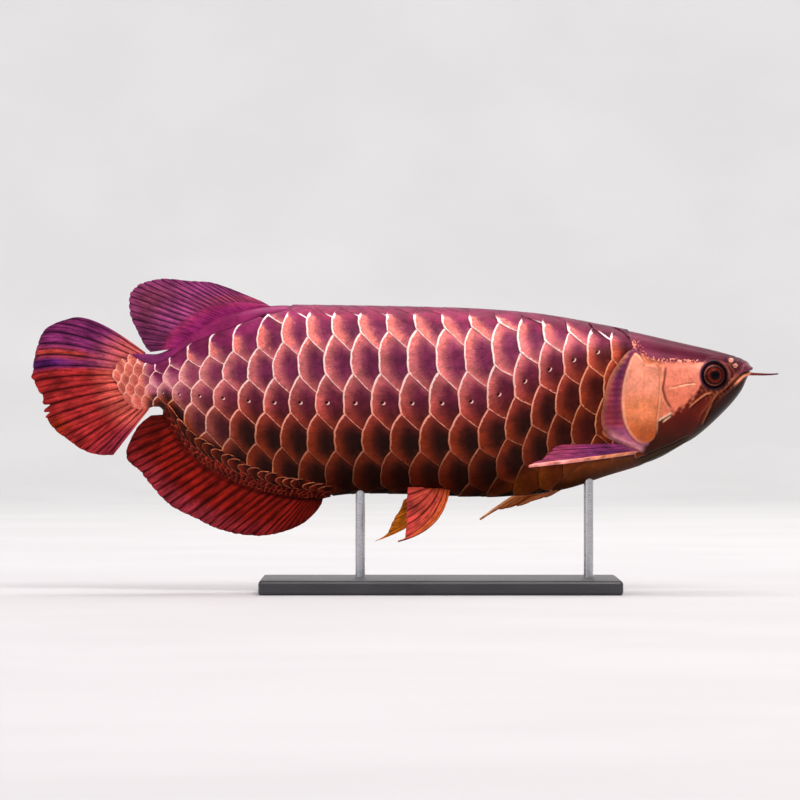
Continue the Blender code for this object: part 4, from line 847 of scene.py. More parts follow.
def scale_faces(rings, across):
    """Faces of a closed plate whose upper points come first."""
    a, b = np.meshgrid(np.arange(rings - 1), np.arange(across - 1), indexing="ij")
    i = (a * across + b).ravel()
    upper = np.stack([i, i + 1, i + across + 1, i + across], 1)
    lower = upper[:, ::-1] + rings * across
    border = ([k for k in range(across)]
              + [r * across + across - 1 for r in range(1, rings)]
              + [(rings - 1) * across + k for k in range(across - 2, -1, -1)]
              + [r * across for r in range(rings - 2, 0, -1)])
    rim = np.array([(p, p + rings * across, q + rings * across, q)
                    for p, q in zip(border, border[1:] + border[:1])])
    return upper, lower, rim


def scale_tints(a, b, s, p, h):
    """Inner colour, rim colour, rim width and flakiness of scales."""
    none = np.zeros((len(s), 3))
    # Upper rows paler and lower rows darker: partly the fish's own colours, partly painted light from above
    # and painted shade towards the belly
    upper = smooth_step(p, -0.2, 0.35)
    tail = smooth_step(s, 420, 500)
    lower = smooth_step(-p, -0.03, 0.38) * (1 - tail)
    light = blend(rgb("c44c3e") + none, rgb("ea7e78"), upper)
    light = blend(light, rgb("8a3014"), lower)
    light = blend(light, rgb("6a200a"), smooth_step(-p, 0.5, 0.8) * (1 - tail))
    light = blend(light, rgb("f69c94"), tail * (0.6 + 0.4 * upper))
    stalk = smooth_step(s, 468, 498) * smooth_step(p, -0.25, 0.15)
    light = blend(light, rgb("ffb8b6"), stalk)
    light = blend(light, rgb("9c4428"), tail * smooth_step(-p, 0.05, 0.4))
    dark = blend(rgb("56181e") + none, rgb("6c2444"), upper)
    dark = blend(dark, rgb("240904"), lower)
    dark = blend(dark, rgb("a84a62"), tail * (0.4 + 0.6 * upper))
    dark = blend(dark, rgb("cc6c86"), stalk)
    dark = blend(dark, rgb("3c100a"), tail * smooth_step(-p, 0.05, 0.4))
    front = smooth_step(-s, -190, -110)
    light = blend(light, rgb("c04a2a"), front * (1 - upper) * (1 - lower))
    dark = blend(dark, rgb("480f08"), front * (1 - upper))
    root = smooth_step(s, 498, 512)
    light, dark = blend(light, rgb("f08a74"), root), blend(dark, rgb("c45a50"), root)
    near_fin = (1 - smooth_step(h - belly_at(s), 18, 32)) * smooth_step(s, 370, 400)
    near_fin *= 1 - smooth_step(s, 486, 500)
    light, dark = blend(light, rgb("8a3014"), near_fin), blend(dark, rgb("280a05"), near_fin)
    bare = smooth_step(bare_belly(s, h), -4, 5)
    light, dark = blend(light, rgb("88400f"), bare), blend(dark, rgb("6a2a08"), bare)
    # Dark centre towards the front of each scale: partly its own colour, partly painted shadow under the rim
    # of the scale ahead
    shade = np.exp(-((a + 0.6) / 0.95) ** 2 - ((b + 0.2) / 2.6) ** 2)
    tint = blend(light, dark, shade * 1.3)
    drop = back_at(s) - h
    ripple = 0.7 * np.sin(b * 5 + s * 0.3) + 0.5 * np.sin(b * 11 + s)
    ahead = 1 - smooth_step(s, 392, 404)
    band = (1 - smooth_step(drop + 4 * a + ripple, BACK_BAND - 2.5, BACK_BAND + 3)) * ahead
    beside = smooth_step(bare_back(s, h) - 7 * a + ripple, -17, -7) * (1 - ahead)
    beside *= 1 - smooth_step(s, 500, 510)
    mauve = blend(rgb("802244") + none, rgb("7c224e"), smooth_step(s, 360, 400))
    mauve = blend(mauve, rgb("642238"), smooth_step(-s, -190, -110))
    tint = blend(tint, mauve, np.maximum(band, beside))
    # Rims: pale pink-white on the upper rows and near-white (claw) along the top, partly painted light from
    # above; browner and darker lower down, partly painted shade
    rim = blend(rgb("f8a088") + none, rgb("ffdcd4"), upper)
    rim = blend(rim, rgb("b86e54"), smooth_step(-p, 0.12, 0.42))
    rim = blend(rim, rgb("7a4a32"), smooth_step(-p, 0.42, 0.75))
    rim = blend(rim, rgb("5a3820"), smooth_step(-p, 0.6, 0.9) * smooth_step(-s, -240, -200))
    rim = blend(rim, rgb("ffc4b8"), tail)
    rim = blend(rim, rgb("e08a5c"), smooth_step(-s, -170, -125) * (1 - upper) * 0.8)
    claw = np.maximum(ridge(bare_back(s, h) - 1, 4) * smooth_step(s, 392, 404),
                      ridge(drop - BACK_BAND, 2.4) * ahead)
    vanish = (1 - smooth_step(drop, BACK_BAND - 3.5, BACK_BAND - 1)) * ahead
    rim = blend(rim, rgb("94425e"), vanish)
    rim = blend(rim, rgb("ffb09a"), root)
    rim = blend(rim, rgb("82441a"), smooth_step(bare_belly(s, h), -6, 3))
    rim = blend(rim, rgb("d08058"), near_fin)
    rim = blend(rim, rgb("fff0ec"), claw)
    width = 1.5 * (1 - 0.5 * smooth_step(-b, 0.7, 1.6)) * (1 - 0.3 * smooth_step(-p, 0.2, 0.7))
    width *= np.clip(row_height_at(s) / 22, 0.5, 1) * (1 + 0.6 * claw)
    width *= 1 - 0.8 * vanish
    width *= 1 - 0.55 * smooth_step(bare_belly(s, h), -4, 5)
    flake = smooth_step(p, 0.36, 0.62) * (1 - band) * smooth_step(a, -1.0, 0.6)
    flake = np.maximum(flake, 0.6 * smooth_step(p, 0.2, 0.5) * smooth_step(b, 0.0, 2.2)
                       * smooth_step(a, -0.6, 0.5) * (1 - band))
    flake = np.maximum(flake * (1 - beside), ridge(bare_back(s, h) + 5, 6)
                       * smooth_step(a, 0.3, 0.85) * (1 - ahead))
    flake *= 1 - smooth_step(s, 460, 500)
    return tint, rim, width, flake


def plate_rise(a, s, p):
    """Height of a plate over the skin's own line, and its thickness."""
    size = np.clip(row_height_at(s) / 30, 0, 1)
    fade = 1 - 0.8 * smooth_step(p, 0.72, 0.9) - 0.6 * smooth_step(-p, 0.84, 1.0)
    return SCALE_RISE * size * fade * (a + 1) / 2, SCALE_THICKNESS * size * fade


def segment_distance(points, path):
    """Distance of points to a path of straight pieces."""
    start, run = path[:-1], np.diff(path, axis=0)
    away = points[:, None] - start[None]
    t = np.clip((away * run).sum(-1) / (run ** 2).sum(-1), 0, 1)
    return np.linalg.norm(away - run * t[..., None], axis=2).min(1)


def plate(form, s, p, side, lift, thick, size, tints, box):
    """Points, attributes and map of one plate; size is its half column and quarter row."""
    a, b = form.a, form.b
    local = np.stack([a * size[0], b * size[1]], 1)
    near = segment_distance(local, form.edge * size)
    full = np.clip(size[1] / 7.5, 0, 1)
    dome = 0.3 * np.clip(1 - (b / 3.4) ** 2, 0, 1) * full
    lip = 0.22 * ridge(near - 0.7, 0.6) * full
    rounding = 0.5 * thick * ridge(near, 0.25)
    top = surface(s, p, side, lift + thick + dome + lip - rounding)
    bottom = surface(s, p, side, lift + dome)
    tint, rim_tint, width, flake = tints
    stem = size[0] * 2.2
    reach = np.hypot(local[:, 0] + stem, local[:, 1])
    ray = np.arctan2(local[:, 1], local[:, 0] + stem) * reach.max()
    fields = {"tint": tint, "rim_tint": rim_tint, "rim_width": width, "flake": flake,
              "edge": near, "ray": ray, "seed": np.full(len(a), random.uniform(0, 50))}
    u = (a - SCALE_ROOT) / (SCALE_TIP - SCALE_ROOT) - 0.5
    v = b / 7.2
    centre, room = np.array(box[:2]), np.array(box[2:])
    face = centre + np.stack([u * 0.86, 0.08 + v * 0.74], 1) * room
    under = centre + np.stack([u * 0.86, -0.42 + v * 0.12], 1) * room
    wall = centre + np.stack([u * 0.94, 0.08 + v * 0.8], 1) * room
    return np.concatenate([top, bottom]), fields, np.concatenate([face, under, wall])


def join_plates(groups, form, coat):
    """Join the plates of each group to one piece."""
    for name, plates in groups.items():
        points = to_world(np.concatenate([made[0] for made in plates]))
        fields = {}
        for key in plates[0][1]:
            fields[key] = np.concatenate([np.concatenate([made[1][key]] * 2) for made in plates])
        faces = np.concatenate([form.faces + n * 2 * form.count for n in range(len(plates))])
        uvs = np.concatenate([made[2][form.loops] for made in plates])
        build(name, points, faces, coat, fields, uvs)


def soft_limit(p):
    """Share of the girth eased to its ends."""
    over = np.abs(p) > 0.95
    return np.where(over, np.sign(p) * (0.95 + 0.05 * np.tanh((np.abs(p) - 0.95) / 0.05)), p)


SCALE_ZONES = (("front", -9, 11), ("middle", 11, 24), ("rear", 24, 50))


def make_scales():
    """Rows of overlapping scales on both sides, in a few joined pieces."""
    random.seed(11)
    form = Form(SCALE_EDGE, 3, SCALE_RINGS)
    groups = {}
    for side, word in ((-1, "right"), (1, "left")):
        for j in range(-7, 9):
            for i in range(-4, 25):
                c = 2 * i + j % 2
                zone, first, last = next(z for z in SCALE_ZONES if z[1] <= c < z[2])
                wide = 2.0 / (last - first + 2)
                box = ((c - first + 1) / (last - first + 2), (j + 7.5) / 16, wide, 1 / 16)
                made = one_scale(form, c, j, side, box)
                if made:
                    groups.setdefault(f"scales_{word}_{zone}", []).append(made)
    coat = scale_material()
    join_plates(groups, form, coat)
    make_ridges(form, coat)
    make_beads(coat)


def one_scale(form, c, j, side, box):
    """One scale of the pattern, or None where there is none."""
    s_here, p_here = (float(v) for v in lattice(c / 2, np.array(float(j))))
    if p_here > 1.0 or p_here < -1.08 or not 60 < s_here < 534:
        return None
    spot = surface(np.array([s_here]), np.array([np.clip(p_here, -1, 1)]), side)[0]
    if bare_back(s_here, spot[2]) > 5.5:
        return None
    if float(head_cover(np.array([s_here]), np.array([spot[2]]))[0]) > 11:
        return None
    turn, other = random.uniform(0, 6), random.uniform(0, 6)
    wobble = 0.014 * np.sin(form.b * 2.1 + turn) + 0.008 * np.sin(form.b * 5.3 + other)
    s, p = lattice((c + form.a + wobble * (form.a + 1)) / 2, j + form.b / 4)
    p = soft_limit(p)
    lift, thick = plate_rise(form.a, s, p)
    lift = lift + random.uniform(-0.06, 0.06)
    level = surface(s, p, side)
    lift = lift - 3.2 * smooth_step(head_cover(level[:, 0], level[:, 2]), -1.5, 3.5)
    lift = lift - 3.4 * smooth_step(bare_back(level[:, 0], level[:, 2]), -1.5, 3.5)
    pitch = float(column_at(c / 2 + 0.5) - column_at(c / 2 - 0.5)) or 10.0
    size = np.array([pitch / 2, float(row_height_at(s_here)) / 4])
    tint, rim, width, flake = scale_tints(form.a, form.b, s, p, level[:, 2])
    tint = tint * random.uniform(0.85, 1.15)
    width = width * random.uniform(0.88, 1.15)
    return plate(form, s, p, side, lift, thick, size, (tint, rim, width, flake), box)


def make_ridges(form, coat):
    """A row of low plates along the back and another along the keel."""
    for name, way, first, last, step, quarter in (("scales_back", 1, 108, 384, 15.5, 3.2),
                                                  ("scales_keel", -1, 92, 352, 15.5, 2.8)):
        plates = []
        centres = np.arange(first, last, step)
        for n, centre in enumerate(centres):
            s = centre + form.a * step * 0.75
            p = way * (1 + form.b * quarter / side_length(s, way))
            level = surface(s, p, -1)
            cover = head_cover(level[:, 0], level[:, 2])
            spot_lift = 0.1 + 0.3 * (form.a + 1) / 2 - 3.2 * smooth_step(cover, -1.5, 3.5)
            if way > 0:
                spot_lift -= 3.2 * smooth_step(s, 380, 398)
            none = np.zeros((len(s), 3))
            if way > 0:
                tint = blend(rgb("7c2a4c") + none, rgb("642238"), smooth_step(-s, -190, -110))
                rim, width = rgb("8c3c58") + none, np.full(len(s), 0.3)
            else:
                tint, rim = rgb("200b05") + none, rgb("4a2c18") + none
                width = np.full(len(s), 0.7)
            tints = (tint * random.uniform(0.92, 1.08), rim, width, np.zeros(len(s)))
            box = ((n + 0.5) / len(centres), 0.5, 1 / len(centres), 0.9)
            plates.append(plate(form, s, p, -1, spot_lift, 0.3, np.array([step / 2, quarter]),
                                tints, box))
        join_plates({name: plates}, form, coat)


def make_beads(coat):
    """Small bead-like scales between the big ones and the root of the anal fin."""
    form = Form(((-1.0, 3.2), (-0.1, 2.9), (0.7, 1.5), (0.95, 0), (0.7, -1.5), (-0.1, -2.9),
                 (-1.0, -3.2)), 2, BEAD_RINGS)
    groups = {}
    bead_rows = ((0.6, 3.0, 0.69, 0.85), (3.5, 3.5, 0.69, 1.0), (6.9, 4.2, 0.69, 1.15),
                 (11.0, 5.3, 0.69, 1.5), (15.6, 7.4, 0.7, 1.65))
    rows = len(bead_rows)
    for side, word in ((-1, "right"), (1, "left")):
        for r, (level, pitch, share, quarter_size) in enumerate(bead_rows):
            count = int(135 / pitch)
            for n in range(count):
                half = pitch * share
                s_here = 357 + pitch * (n + 0.5 * (r % 2)) + random.uniform(-0.23, 0.23) * half
                tall = float(np.interp(s_here, (355, 375, 400, 455, 490), (0.6, 0.9, 1, 1.15, 0.8)))
                away = level * tall + random.uniform(-0.45, 0.45)
                quarter = quarter_size * tall * random.uniform(0.85, 1.2)
                s = s_here + form.a * half * random.uniform(0.9, 1.1)
                p = -1 + (away + form.b * quarter) / side_length(s, -1)
                lift = 0.9 + 0.7 * (form.a + 1) / 2 + 0.12 * (4 - r) + 0.6 * (r > 3)
                none = np.zeros((len(s), 3))
                red = rgb("7a180c") * random.uniform(0.5, 1.5)
                rim = rgb("a83a24") * random.uniform(0.2, 1.15) + none
                if r == 4:
                    red, rim = blend(red, rgb("6a200c"), 0.6), rgb("c06a48") * random.uniform(0.6, 1.1) + none
                # Each bead darker towards its front: partly its own colour, partly painted shade under the
                # bead ahead
                tint = blend(red + none, rgb("160504"), np.exp(-((form.a + 0.6) / 0.8) ** 2))
                tints = (tint, rim, np.full(len(s), 0.55), np.zeros(len(s)))
                box = ((n + 0.5) / count, (r + 0.5) / rows, 0.96 / count, 0.96 / rows)
                groups.setdefault("beads_" + word, []).append(
                    plate(form, s, p, side, lift, 0.45, np.array([pitch * 0.65, quarter]), tints, box))
    join_plates(groups, form, coat)


def make_pores():
    """Raised pores along the lateral line, each closed by a near-black disc: painted shade where the opening
    is.
    """
    made, tree, shader = material("arowana_pore", 0.4, Metallic=0.3, Specular_IOR_Level=0.1)
    tint = attribute(tree, "tint", True)
    grain = noise(tree, 1400, 3)
    colour = node(tree, "ShaderNodeVectorMath", {0: tint}, operation="SCALE")
    tree.links.new(remap(tree, grain, 0.3, 0.7, 0.85, 1.15), colour.inputs["Scale"])
    link(tree, colour.outputs[0], shader, "Base Color")
    bump(tree, shader, grain, 0.0001, 0.4)
    turns = np.linspace(0, 2 * math.pi, 18, endpoint=False)
    ring_turns = np.linspace(0, 2 * math.pi, 8, endpoint=False)
    for side, word in ((-1, "right"), (1, "left")):
        points, faces, tints = [], [], []
        for i in range(0, 19):
            s, p = (float(v) for v in lattice(float(i), np.array(0.0)))
            size = 1.55 * float(np.clip(row_height_at(s) / 30, 0.35, 1))
            start = len(points)

            def place(along, up, out):
                lift = SCALE_RISE * size / 2 + SCALE_THICKNESS * size + 0.3 * size + out
                girth = float(side_length(s, up))
                return surface(np.array([s + along]), np.array([p + up / girth]), side,
                               np.array([lift]))[0]

            for t in turns:
                thick = size * (0.16 + 0.3 * max(0.0, math.cos(t + 0.7)))
                for q in ring_turns:
                    away = size * 0.95 + thick * math.cos(q)
                    points.append(place(-away * math.cos(t) * 1.1, away * math.sin(t),
                                        thick * 0.75 * math.sin(q)))
                    bright = max(0.0, math.cos(t + 0.7))
                    tints.append(rgb("6a2426") + (rgb("ffc4ba") - rgb("6a2426")) * bright)
            for m in range(len(turns)):
                for q in range(len(ring_turns)):
                    m2, q2 = (m + 1) % len(turns), (q + 1) % len(ring_turns)
                    faces.append([start + m * 8 + q, start + m2 * 8 + q, start + m2 * 8 + q2,
                                  start + m * 8 + q2])
            # Painted shade: a flat near-black disc stands for the pore's opening
            rim = len(points)
            for t in turns:
                points.append(place(-size * 0.85 * math.cos(t), size * 0.8 * math.sin(t), 0.04))
                tints.append(rgb("180508"))
            faces.append([rim + k for k in range(len(turns))][::side])
        build("pores_" + word, to_world(np.array(points)), faces, made,
              {"tint": np.array(tints)})


# ------------------------------------------------------------------ fins

ROOT_DEPTH = 7.0
DORSAL_GUIDES = ((402.5, 30, 8), (408.5, 31.5, 24.5), (416.5, 32.5, 38.5), (427, 30, 49),
                 (439.5, 26.5, 65.5), (451, 22, 70.5), (465, 16.5, 57), (477, 9, 35.5),
                 (487, -8, 15.5))
ANAL_GUIDES = ((357.5, -75, 7), (359.5, -68, 16), (363, -60, 27.5), (368, -52, 37),
               (375, -45, 46.5), (390, -38, 53.5), (409, -38, 51), (428, -37, 48.5),
               (446, -34, 48.5), (461, -31, 45), (471, -29, 43.5), (479.5, -26.5, 47.5),
               (486, -17, 30.8), (489.5, -4, 12.5))
TAIL_CENTRE = (509.6, 20.1)
TAIL_SPREAD = (40.0, -70.0)
TAIL_REACH = ((-70, 70.5), (-55, 78), (-40, 82), (-25, 87), (-12, 85), (-1, 91), (22, 91), (40, 76))
TAIL_ROOT = (11.5, 24.5)
TAIL_ROOT_CENTRE = (501.6, 17.1)
TAIL_ROOT_TURNS = (66.0, -82.0)
TAIL_BEND = 12.0
TAIL_BEND_AT = 0.8
PECTORAL_RIGHT = (((94.5, -43.5), (189, -55), 107), ((97, -42), (177.7, -49), 86),
                  ((101.5, -40), (171, -44.5), 66), ((107, -38), (163, -38), 44),
                  ((113, -37), (152, -38), 26))
PECTORAL_LEFT = (((95.5, -40), (225, -99), 26), ((97, -43), (211, -93), 22),
                 ((100, -45.5), (189, -87), 17), ((104, -47.5), (172, -82), 12),
                 ((108, -49), (158, -74), 8))
PELVIC_RIGHT = (((252, -75), (295.7, -117.7), 45), ((256, -74.5), (290.5, -115), 40),
                ((261, -74), (288.2, -103), 29), ((267, -74), (288.2, -88), 18),
                ((274, -73.5), (287, -72.5), 8))
PELVIC_LEFT = (((252, -75), (314.2, -118.6), 14), ((256, -74.5), (304.8, -112.5), 15),
               ((261, -74), (299, -100), 15), ((267, -74), (294.5, -94), 13),
               ((274, -73.5), (290.5, -84), 10))
PAIRED_BOW = 0.16
PECTORAL_LEAD = ((0, 0), (0, 18))
PELVIC_LEAD = ((-16.7, -12.3), (-7, -10))
LEAD_FADE = 1.5
PAIRED_INSIDE = (-1.7, -3.9, 1.7)
PAIRED_ROOT_SHARE = 0.12


def median_rays(guides, edge_at):
    """Ray function of a fin on the back or belly line."""
    shares = np.linspace(0, 1, len(guides))
    root_at, lean_at, length_at = (
        curve_through([(u, g[k]) for u, g in zip(shares, guides)]) for k in range(3))

    def ray_point(u, t):
        s = root_at(u)
        lean = np.radians(lean_at(u))
        reach = -ROOT_DEPTH + (length_at(u) + ROOT_DEPTH) * t
        return np.stack([s + reach * np.cos(lean), 0 * s, edge_at(s) + reach * np.sin(lean)], -1)

    return ray_point


def tail_rays(u, t):
    """Point on the tail fin, u from its upper to its lower edge."""
    angle = TAIL_SPREAD[0] + (TAIL_SPREAD[1] - TAIL_SPREAD[0]) * u
    turn = np.radians(TAIL_ROOT_TURNS[0] + (TAIL_ROOT_TURNS[1] - TAIL_ROOT_TURNS[0]) * u)
    root = np.stack([TAIL_ROOT_CENTRE[0] + TAIL_ROOT[0] * np.cos(turn),
                     TAIL_ROOT_CENTRE[1] + TAIL_ROOT[1] * np.sin(turn)], -1)
    lean = np.radians(angle)
    reach = curve_through(TAIL_REACH)(angle)
    tip = np.stack([TAIL_CENTRE[0] + reach * np.cos(lean),
                    TAIL_CENTRE[1] + reach * np.sin(lean)], -1)
    chord = tip - root
    start = np.arctan2(chord[..., 1], chord[..., 0]) + np.radians(TAIL_BEND * (1 - u) ** 2)
    middle = root + (np.stack([np.cos(start), np.sin(start)], -1)
                     * np.linalg.norm(chord, axis=-1, keepdims=True) * TAIL_BEND_AT)
    t = t[..., None]
    spot = root * (1 - t) ** 2 + middle * 2 * t * (1 - t) + tip * t ** 2
    return np.stack([spot[..., 0], 0 * u, spot[..., 1]], -1)


def paired_rays(guides, lead, side):
    """Ray function of a fin on one side."""
    shares = np.linspace(0, 1, len(guides))

    def column(pick):
        return curve_through([(u, pick(g)) for u, g in zip(shares, guides)])

    root_s, root_h = column(lambda g: g[0][0]), column(lambda g: g[0][1])
    tip_s, tip_h = column(lambda g: g[1][0]), column(lambda g: g[1][1])
    stand_out = column(lambda g: g[2])

    def ray_point(u, t):
        s, h = root_s(u), root_h(u)
        surface_y = half_breadth(s, h)
        root = np.stack([s, surface_y, h], -1)
        tip = np.stack([tip_s(u), surface_y + stand_out(u), tip_h(u)], -1)
        chord = tip - root
        inner = root + np.array(PAIRED_INSIDE)
        fade = (1 - u) ** LEAD_FADE
        bow = np.stack([lead[0] * fade, np.linalg.norm(chord, axis=-1) * PAIRED_BOW,
                        lead[1] * fade], -1)
        middle = root + chord * 0.5 + bow
        t = t[..., None]
        r = (t - PAIRED_ROOT_SHARE) / (1 - PAIRED_ROOT_SHARE)
        spot = np.where(t < PAIRED_ROOT_SHARE, inner + (root - inner) * t / PAIRED_ROOT_SHARE,
                        root * (1 - r) ** 2 + middle * 2 * r * (1 - r) + tip * r ** 2)
        return spot * [1, side, 1]

    return ray_point


def fin(name, ray_point, rays, colours, made_material, thickness=(0.95, 0.34), flutter=0.0,
        ragged=0.02, sheath=0.0, sheath_reach=None, per_ray=12, along=76, branch=(0.34, 0.66),
        lead=0.0, tatter=(0.5, 0.0), spikes=(), crest=5.0):
    """Fin with its rays as ridges that branch, a fleshy sheath and a notched outer edge."""
    rng = random.Random(name)
    columns = (rays - 1) * per_ray + 1
    index = np.arange(columns) / per_ray
    ends = np.cumsum([0] + [rng.uniform(0.82, 1.18) for _ in range(rays - 1)])
    u = np.interp(index, np.arange(rays), ends / ends[-1])
    t = np.linspace(0, 1, along) ** 0.9
    frac = np.abs(index - np.round(index)) * 2
    notch = np.interp(index, np.arange(rays), [rng.uniform(0, 1) for _ in range(rays)])
    split = np.abs(2 * frac - 1)
    torn = 1 + tatter[1] * ridge(u - tatter[0], 0.12)
    short = 1 - ragged * torn * (0.6 * notch + 0.5 * frac ** 4
                                 + 0.22 * np.array([rng.uniform(0, 1) for _ in range(columns)]))
    short += ragged * 0.55
    for place, extra, breadth in spikes:
        short += extra * ridge(u - place, breadth)
    grid_u, grid_t = np.meshgrid(u, t, indexing="ij")
    reach = grid_t * short[:, None]
    middle = ray_point(grid_u, reach)
    steps = np.linalg.norm(np.diff(middle, axis=1), axis=2)
    length = np.concatenate([np.zeros((columns, 1)), np.cumsum(steps, 1)], 1)
    first = (1 - frac ** crest)[:, None]
    second = (1 - split ** 3)[:, None]
    fork = smooth_step(reach, branch[0] - 0.08, branch[0] + 0.14)
    band = first * (1 - fork * (1 - (0.45 + 0.55 * second)))
    third = (1 - np.abs(2 * split - 1) ** 3)[:, None]
    band = band * (1 - 0.4 * smooth_step(reach, branch[1] - 0.08, branch[1] + 0.12) * (1 - third))
    gap = smooth_step(frac, 0.78, 1.0)[:, None]
    flesh = np.zeros_like(reach)
    if sheath_reach:
        cover = curve_through(sheath_reach)(grid_u) + ROOT_DEPTH
        flesh = 1 - smooth_step(length, cover - 5, cover + 3)
        band = band * (1 - flesh) + 0.5 * flesh
    root_half, tip_half = thickness
    half = 0.14 + band * (root_half + (tip_half - root_half) * reach)
    if sheath:
        high = np.clip((length - ROOT_DEPTH) / np.maximum(cover - ROOT_DEPTH, 1), 0, 1.3)
        half = half + sheath * np.clip(1 - high ** 2, 0, 1) ** 0.5
    if lead:
        half = half + lead * np.exp(-(index[:, None] / 0.55) ** 2) * (1 - 0.6 * reach)
    run_i = np.gradient(middle, axis=0)
    run_k = np.gradient(middle, axis=1)
    normal = unit(np.cross(run_i, run_k))
    wave = flutter * reach ** 1.5 * np.sin(2 * math.pi * (grid_u * 2.3 + reach * 0.7))
    middle = middle + normal * wave[..., None]
    tint = colours(grid_u, reach, band, flesh, length)
    upper = middle + normal * half[..., None]
    lower = middle - normal * half[..., None]
    points = np.concatenate([upper.reshape(-1, 3), lower.reshape(-1, 3)])
    faces = np.concatenate(scale_faces(columns, along))
    across = np.broadcast_to(index[:, None], grid_u.shape).ravel()
    fields = {"tint": tint.reshape(-1, 3), "across": across, "along": length.ravel(),
              "ridge": band.ravel(), "flesh": flesh.ravel()}
    fields = {k: np.concatenate([v, v]) for k, v in fields.items()}
    node_name = name.replace("_rays", "")
    piece = build(name, to_world(points), faces, made_material, fields)
    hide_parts(node_name)
    return piece


DORSAL_SHEATH = ((0, 1.5), (0.15, 6), (0.35, 12), (0.55, 16), (0.8, 15), (1, 7))


def fin_tint(u, web, ray, band):
    """Colour between the membrane's and the rays'."""
    return blend(rgb(web) + np.zeros((*u.shape, 3)), rgb(ray), band)


def dorsal_colours(u, t, band, flesh, length):
    """Purple fin with paler rays and a brown patch behind."""
    tint = fin_tint(u, "280a24", "a4447c", band)
    tint = blend(tint, rgb("6e3424"), 0.8 * ridge(u - 0.66, 0.17) * ridge(t - 0.8, 0.2) * band)
    roots = ridge(length - np.interp(u, (0, 0.5, 1), (16, 28, 24)), 6)
    tint = blend(tint, rgb("c04c60"), roots * band * (1 - smooth_step(u, 0.3, 0.75)) * 0.7)
    tint = blend(tint, rgb("441830"), smooth_step(u, 0.68, 0.9) * 0.85 * band)
    cover = curve_through(DORSAL_SHEATH)(u) + ROOT_DEPTH
    tint = blend(tint, rgb("86205a"), flesh)
    return blend(tint, rgb("a03440"), ridge(length - cover + 3.5, 4.0) * 0.4
                 * (0.4 + 0.6 * np.sin(u * 90) ** 2))


def anal_colours(u, t, band, flesh, length):
    """Deep red fin, dark red-brown at both ends."""
    tint = fin_tint(u, "1e0202", "8a180f", band)
    tint = blend(tint, rgb("943040"), band * smooth_step(t, 0.6, 0.95) * ridge(u - 0.6, 0.25))
    ends = np.maximum(1 - smooth_step(u, 0.08, 0.35), smooth_step(u, 0.8, 0.97))
    tint = blend(tint, rgb("420802"), ends * (0.1 + 0.8 * band))
    tint = blend(tint, rgb("440806"), ends * (1 - band) * 0.5)
    shadow = (1 - smooth_step(length, ROOT_DEPTH + 1, ROOT_DEPTH + 8)) * (1 - 0.6 * smooth_step(u, 0.3, 0.6))
    return blend(tint, rgb("200605"), shadow)


def tail_colours(u, t, band, flesh, length):
    """Purple upper lobe, red lower lobe, salmon root."""
    upper = 1 - smooth_step(u, 0.325, 0.355)
    ray = blend(rgb("a82a2a") + np.zeros((*u.shape, 3)), rgb("802c60"), upper)
    web = blend(rgb("360408") + np.zeros((*u.shape, 3)), rgb("1e0622"), upper)
    ray = blend(ray, rgb("c44430"), ridge(u - 0.262, 0.028) * smooth_step(t, 0.2, 0.5))
    ray = blend(ray, rgb("5c2068"), ridge(u - 0.31, 0.024) * smooth_step(t, 0.4, 0.7))
    ray = blend(ray, rgb("a83010"), ridge(u - 0.64, 0.05) * smooth_step(t, 0.6, 0.9))
    ray = blend(ray, rgb("9c3048"), smooth_step(u, 0.8, 0.98) * 0.7)
    ray = blend(ray, rgb("e46c5c"), (1 - smooth_step(t, 0.08, 0.4)) * 0.7)
    web = blend(web, rgb("7c201c"), (1 - smooth_step(t, 0.05, 0.35)) * 0.8)
    return blend(web, ray, band)


def pectoral_near_colours(u, t, band, flesh, length):
    """Purple membrane behind a bright, pale orange leading ray."""
    tint = fin_tint(u, "260a30", "7c3060", band)
    tint = blend(tint, rgb("a83c54"), smooth_step(t, 0.5, 0.95) * 0.7 * band)
    tint = blend(tint, rgb("302050"), ridge(t - 0.4, 0.14) * ridge(u - 0.28, 0.16) * 0.6)
    lead = blend(rgb("ff9a6e") + np.zeros_like(tint), rgb("ff9c94"), smooth_step(t, 0.35, 0.7))
    tint = blend(tint, lead, 1 - smooth_step(u, 0.05, 0.12))
    return blend(tint, rgb("a0587c"), (1 - smooth_step(t, 0.14, 0.24)) * 0.6)


def pectoral_far_colours(u, t, band, flesh, length):
    """Orange-brown fin."""
    tint = fin_tint(u, "4c1a08", "b4602c", band)
    return blend(tint, rgb("ffb070"), 1 - smooth_step(u, 0.05, 0.12))


def pelvic_near_colours(u, t, band, flesh, length):
    """Pinkish red fin with orange front rays."""
    tint = fin_tint(u, "560e12", "c44a3a", band)
    tint = blend(tint, rgb("e06834"), (1 - smooth_step(u, 0.1, 0.4)) * band)
    tint = blend(tint, rgb("a82a34"), smooth_step(t, 0.7, 1.0) * band * 0.6)
    return blend(tint, rgb("7a2c10"), (1 - smooth_step(t, 0.15, 0.32)) * 0.8)


def pelvic_far_colours(u, t, band, flesh, length):
    """Orange fin."""
    return fin_tint(u, "a84408", "ee8a24", band)


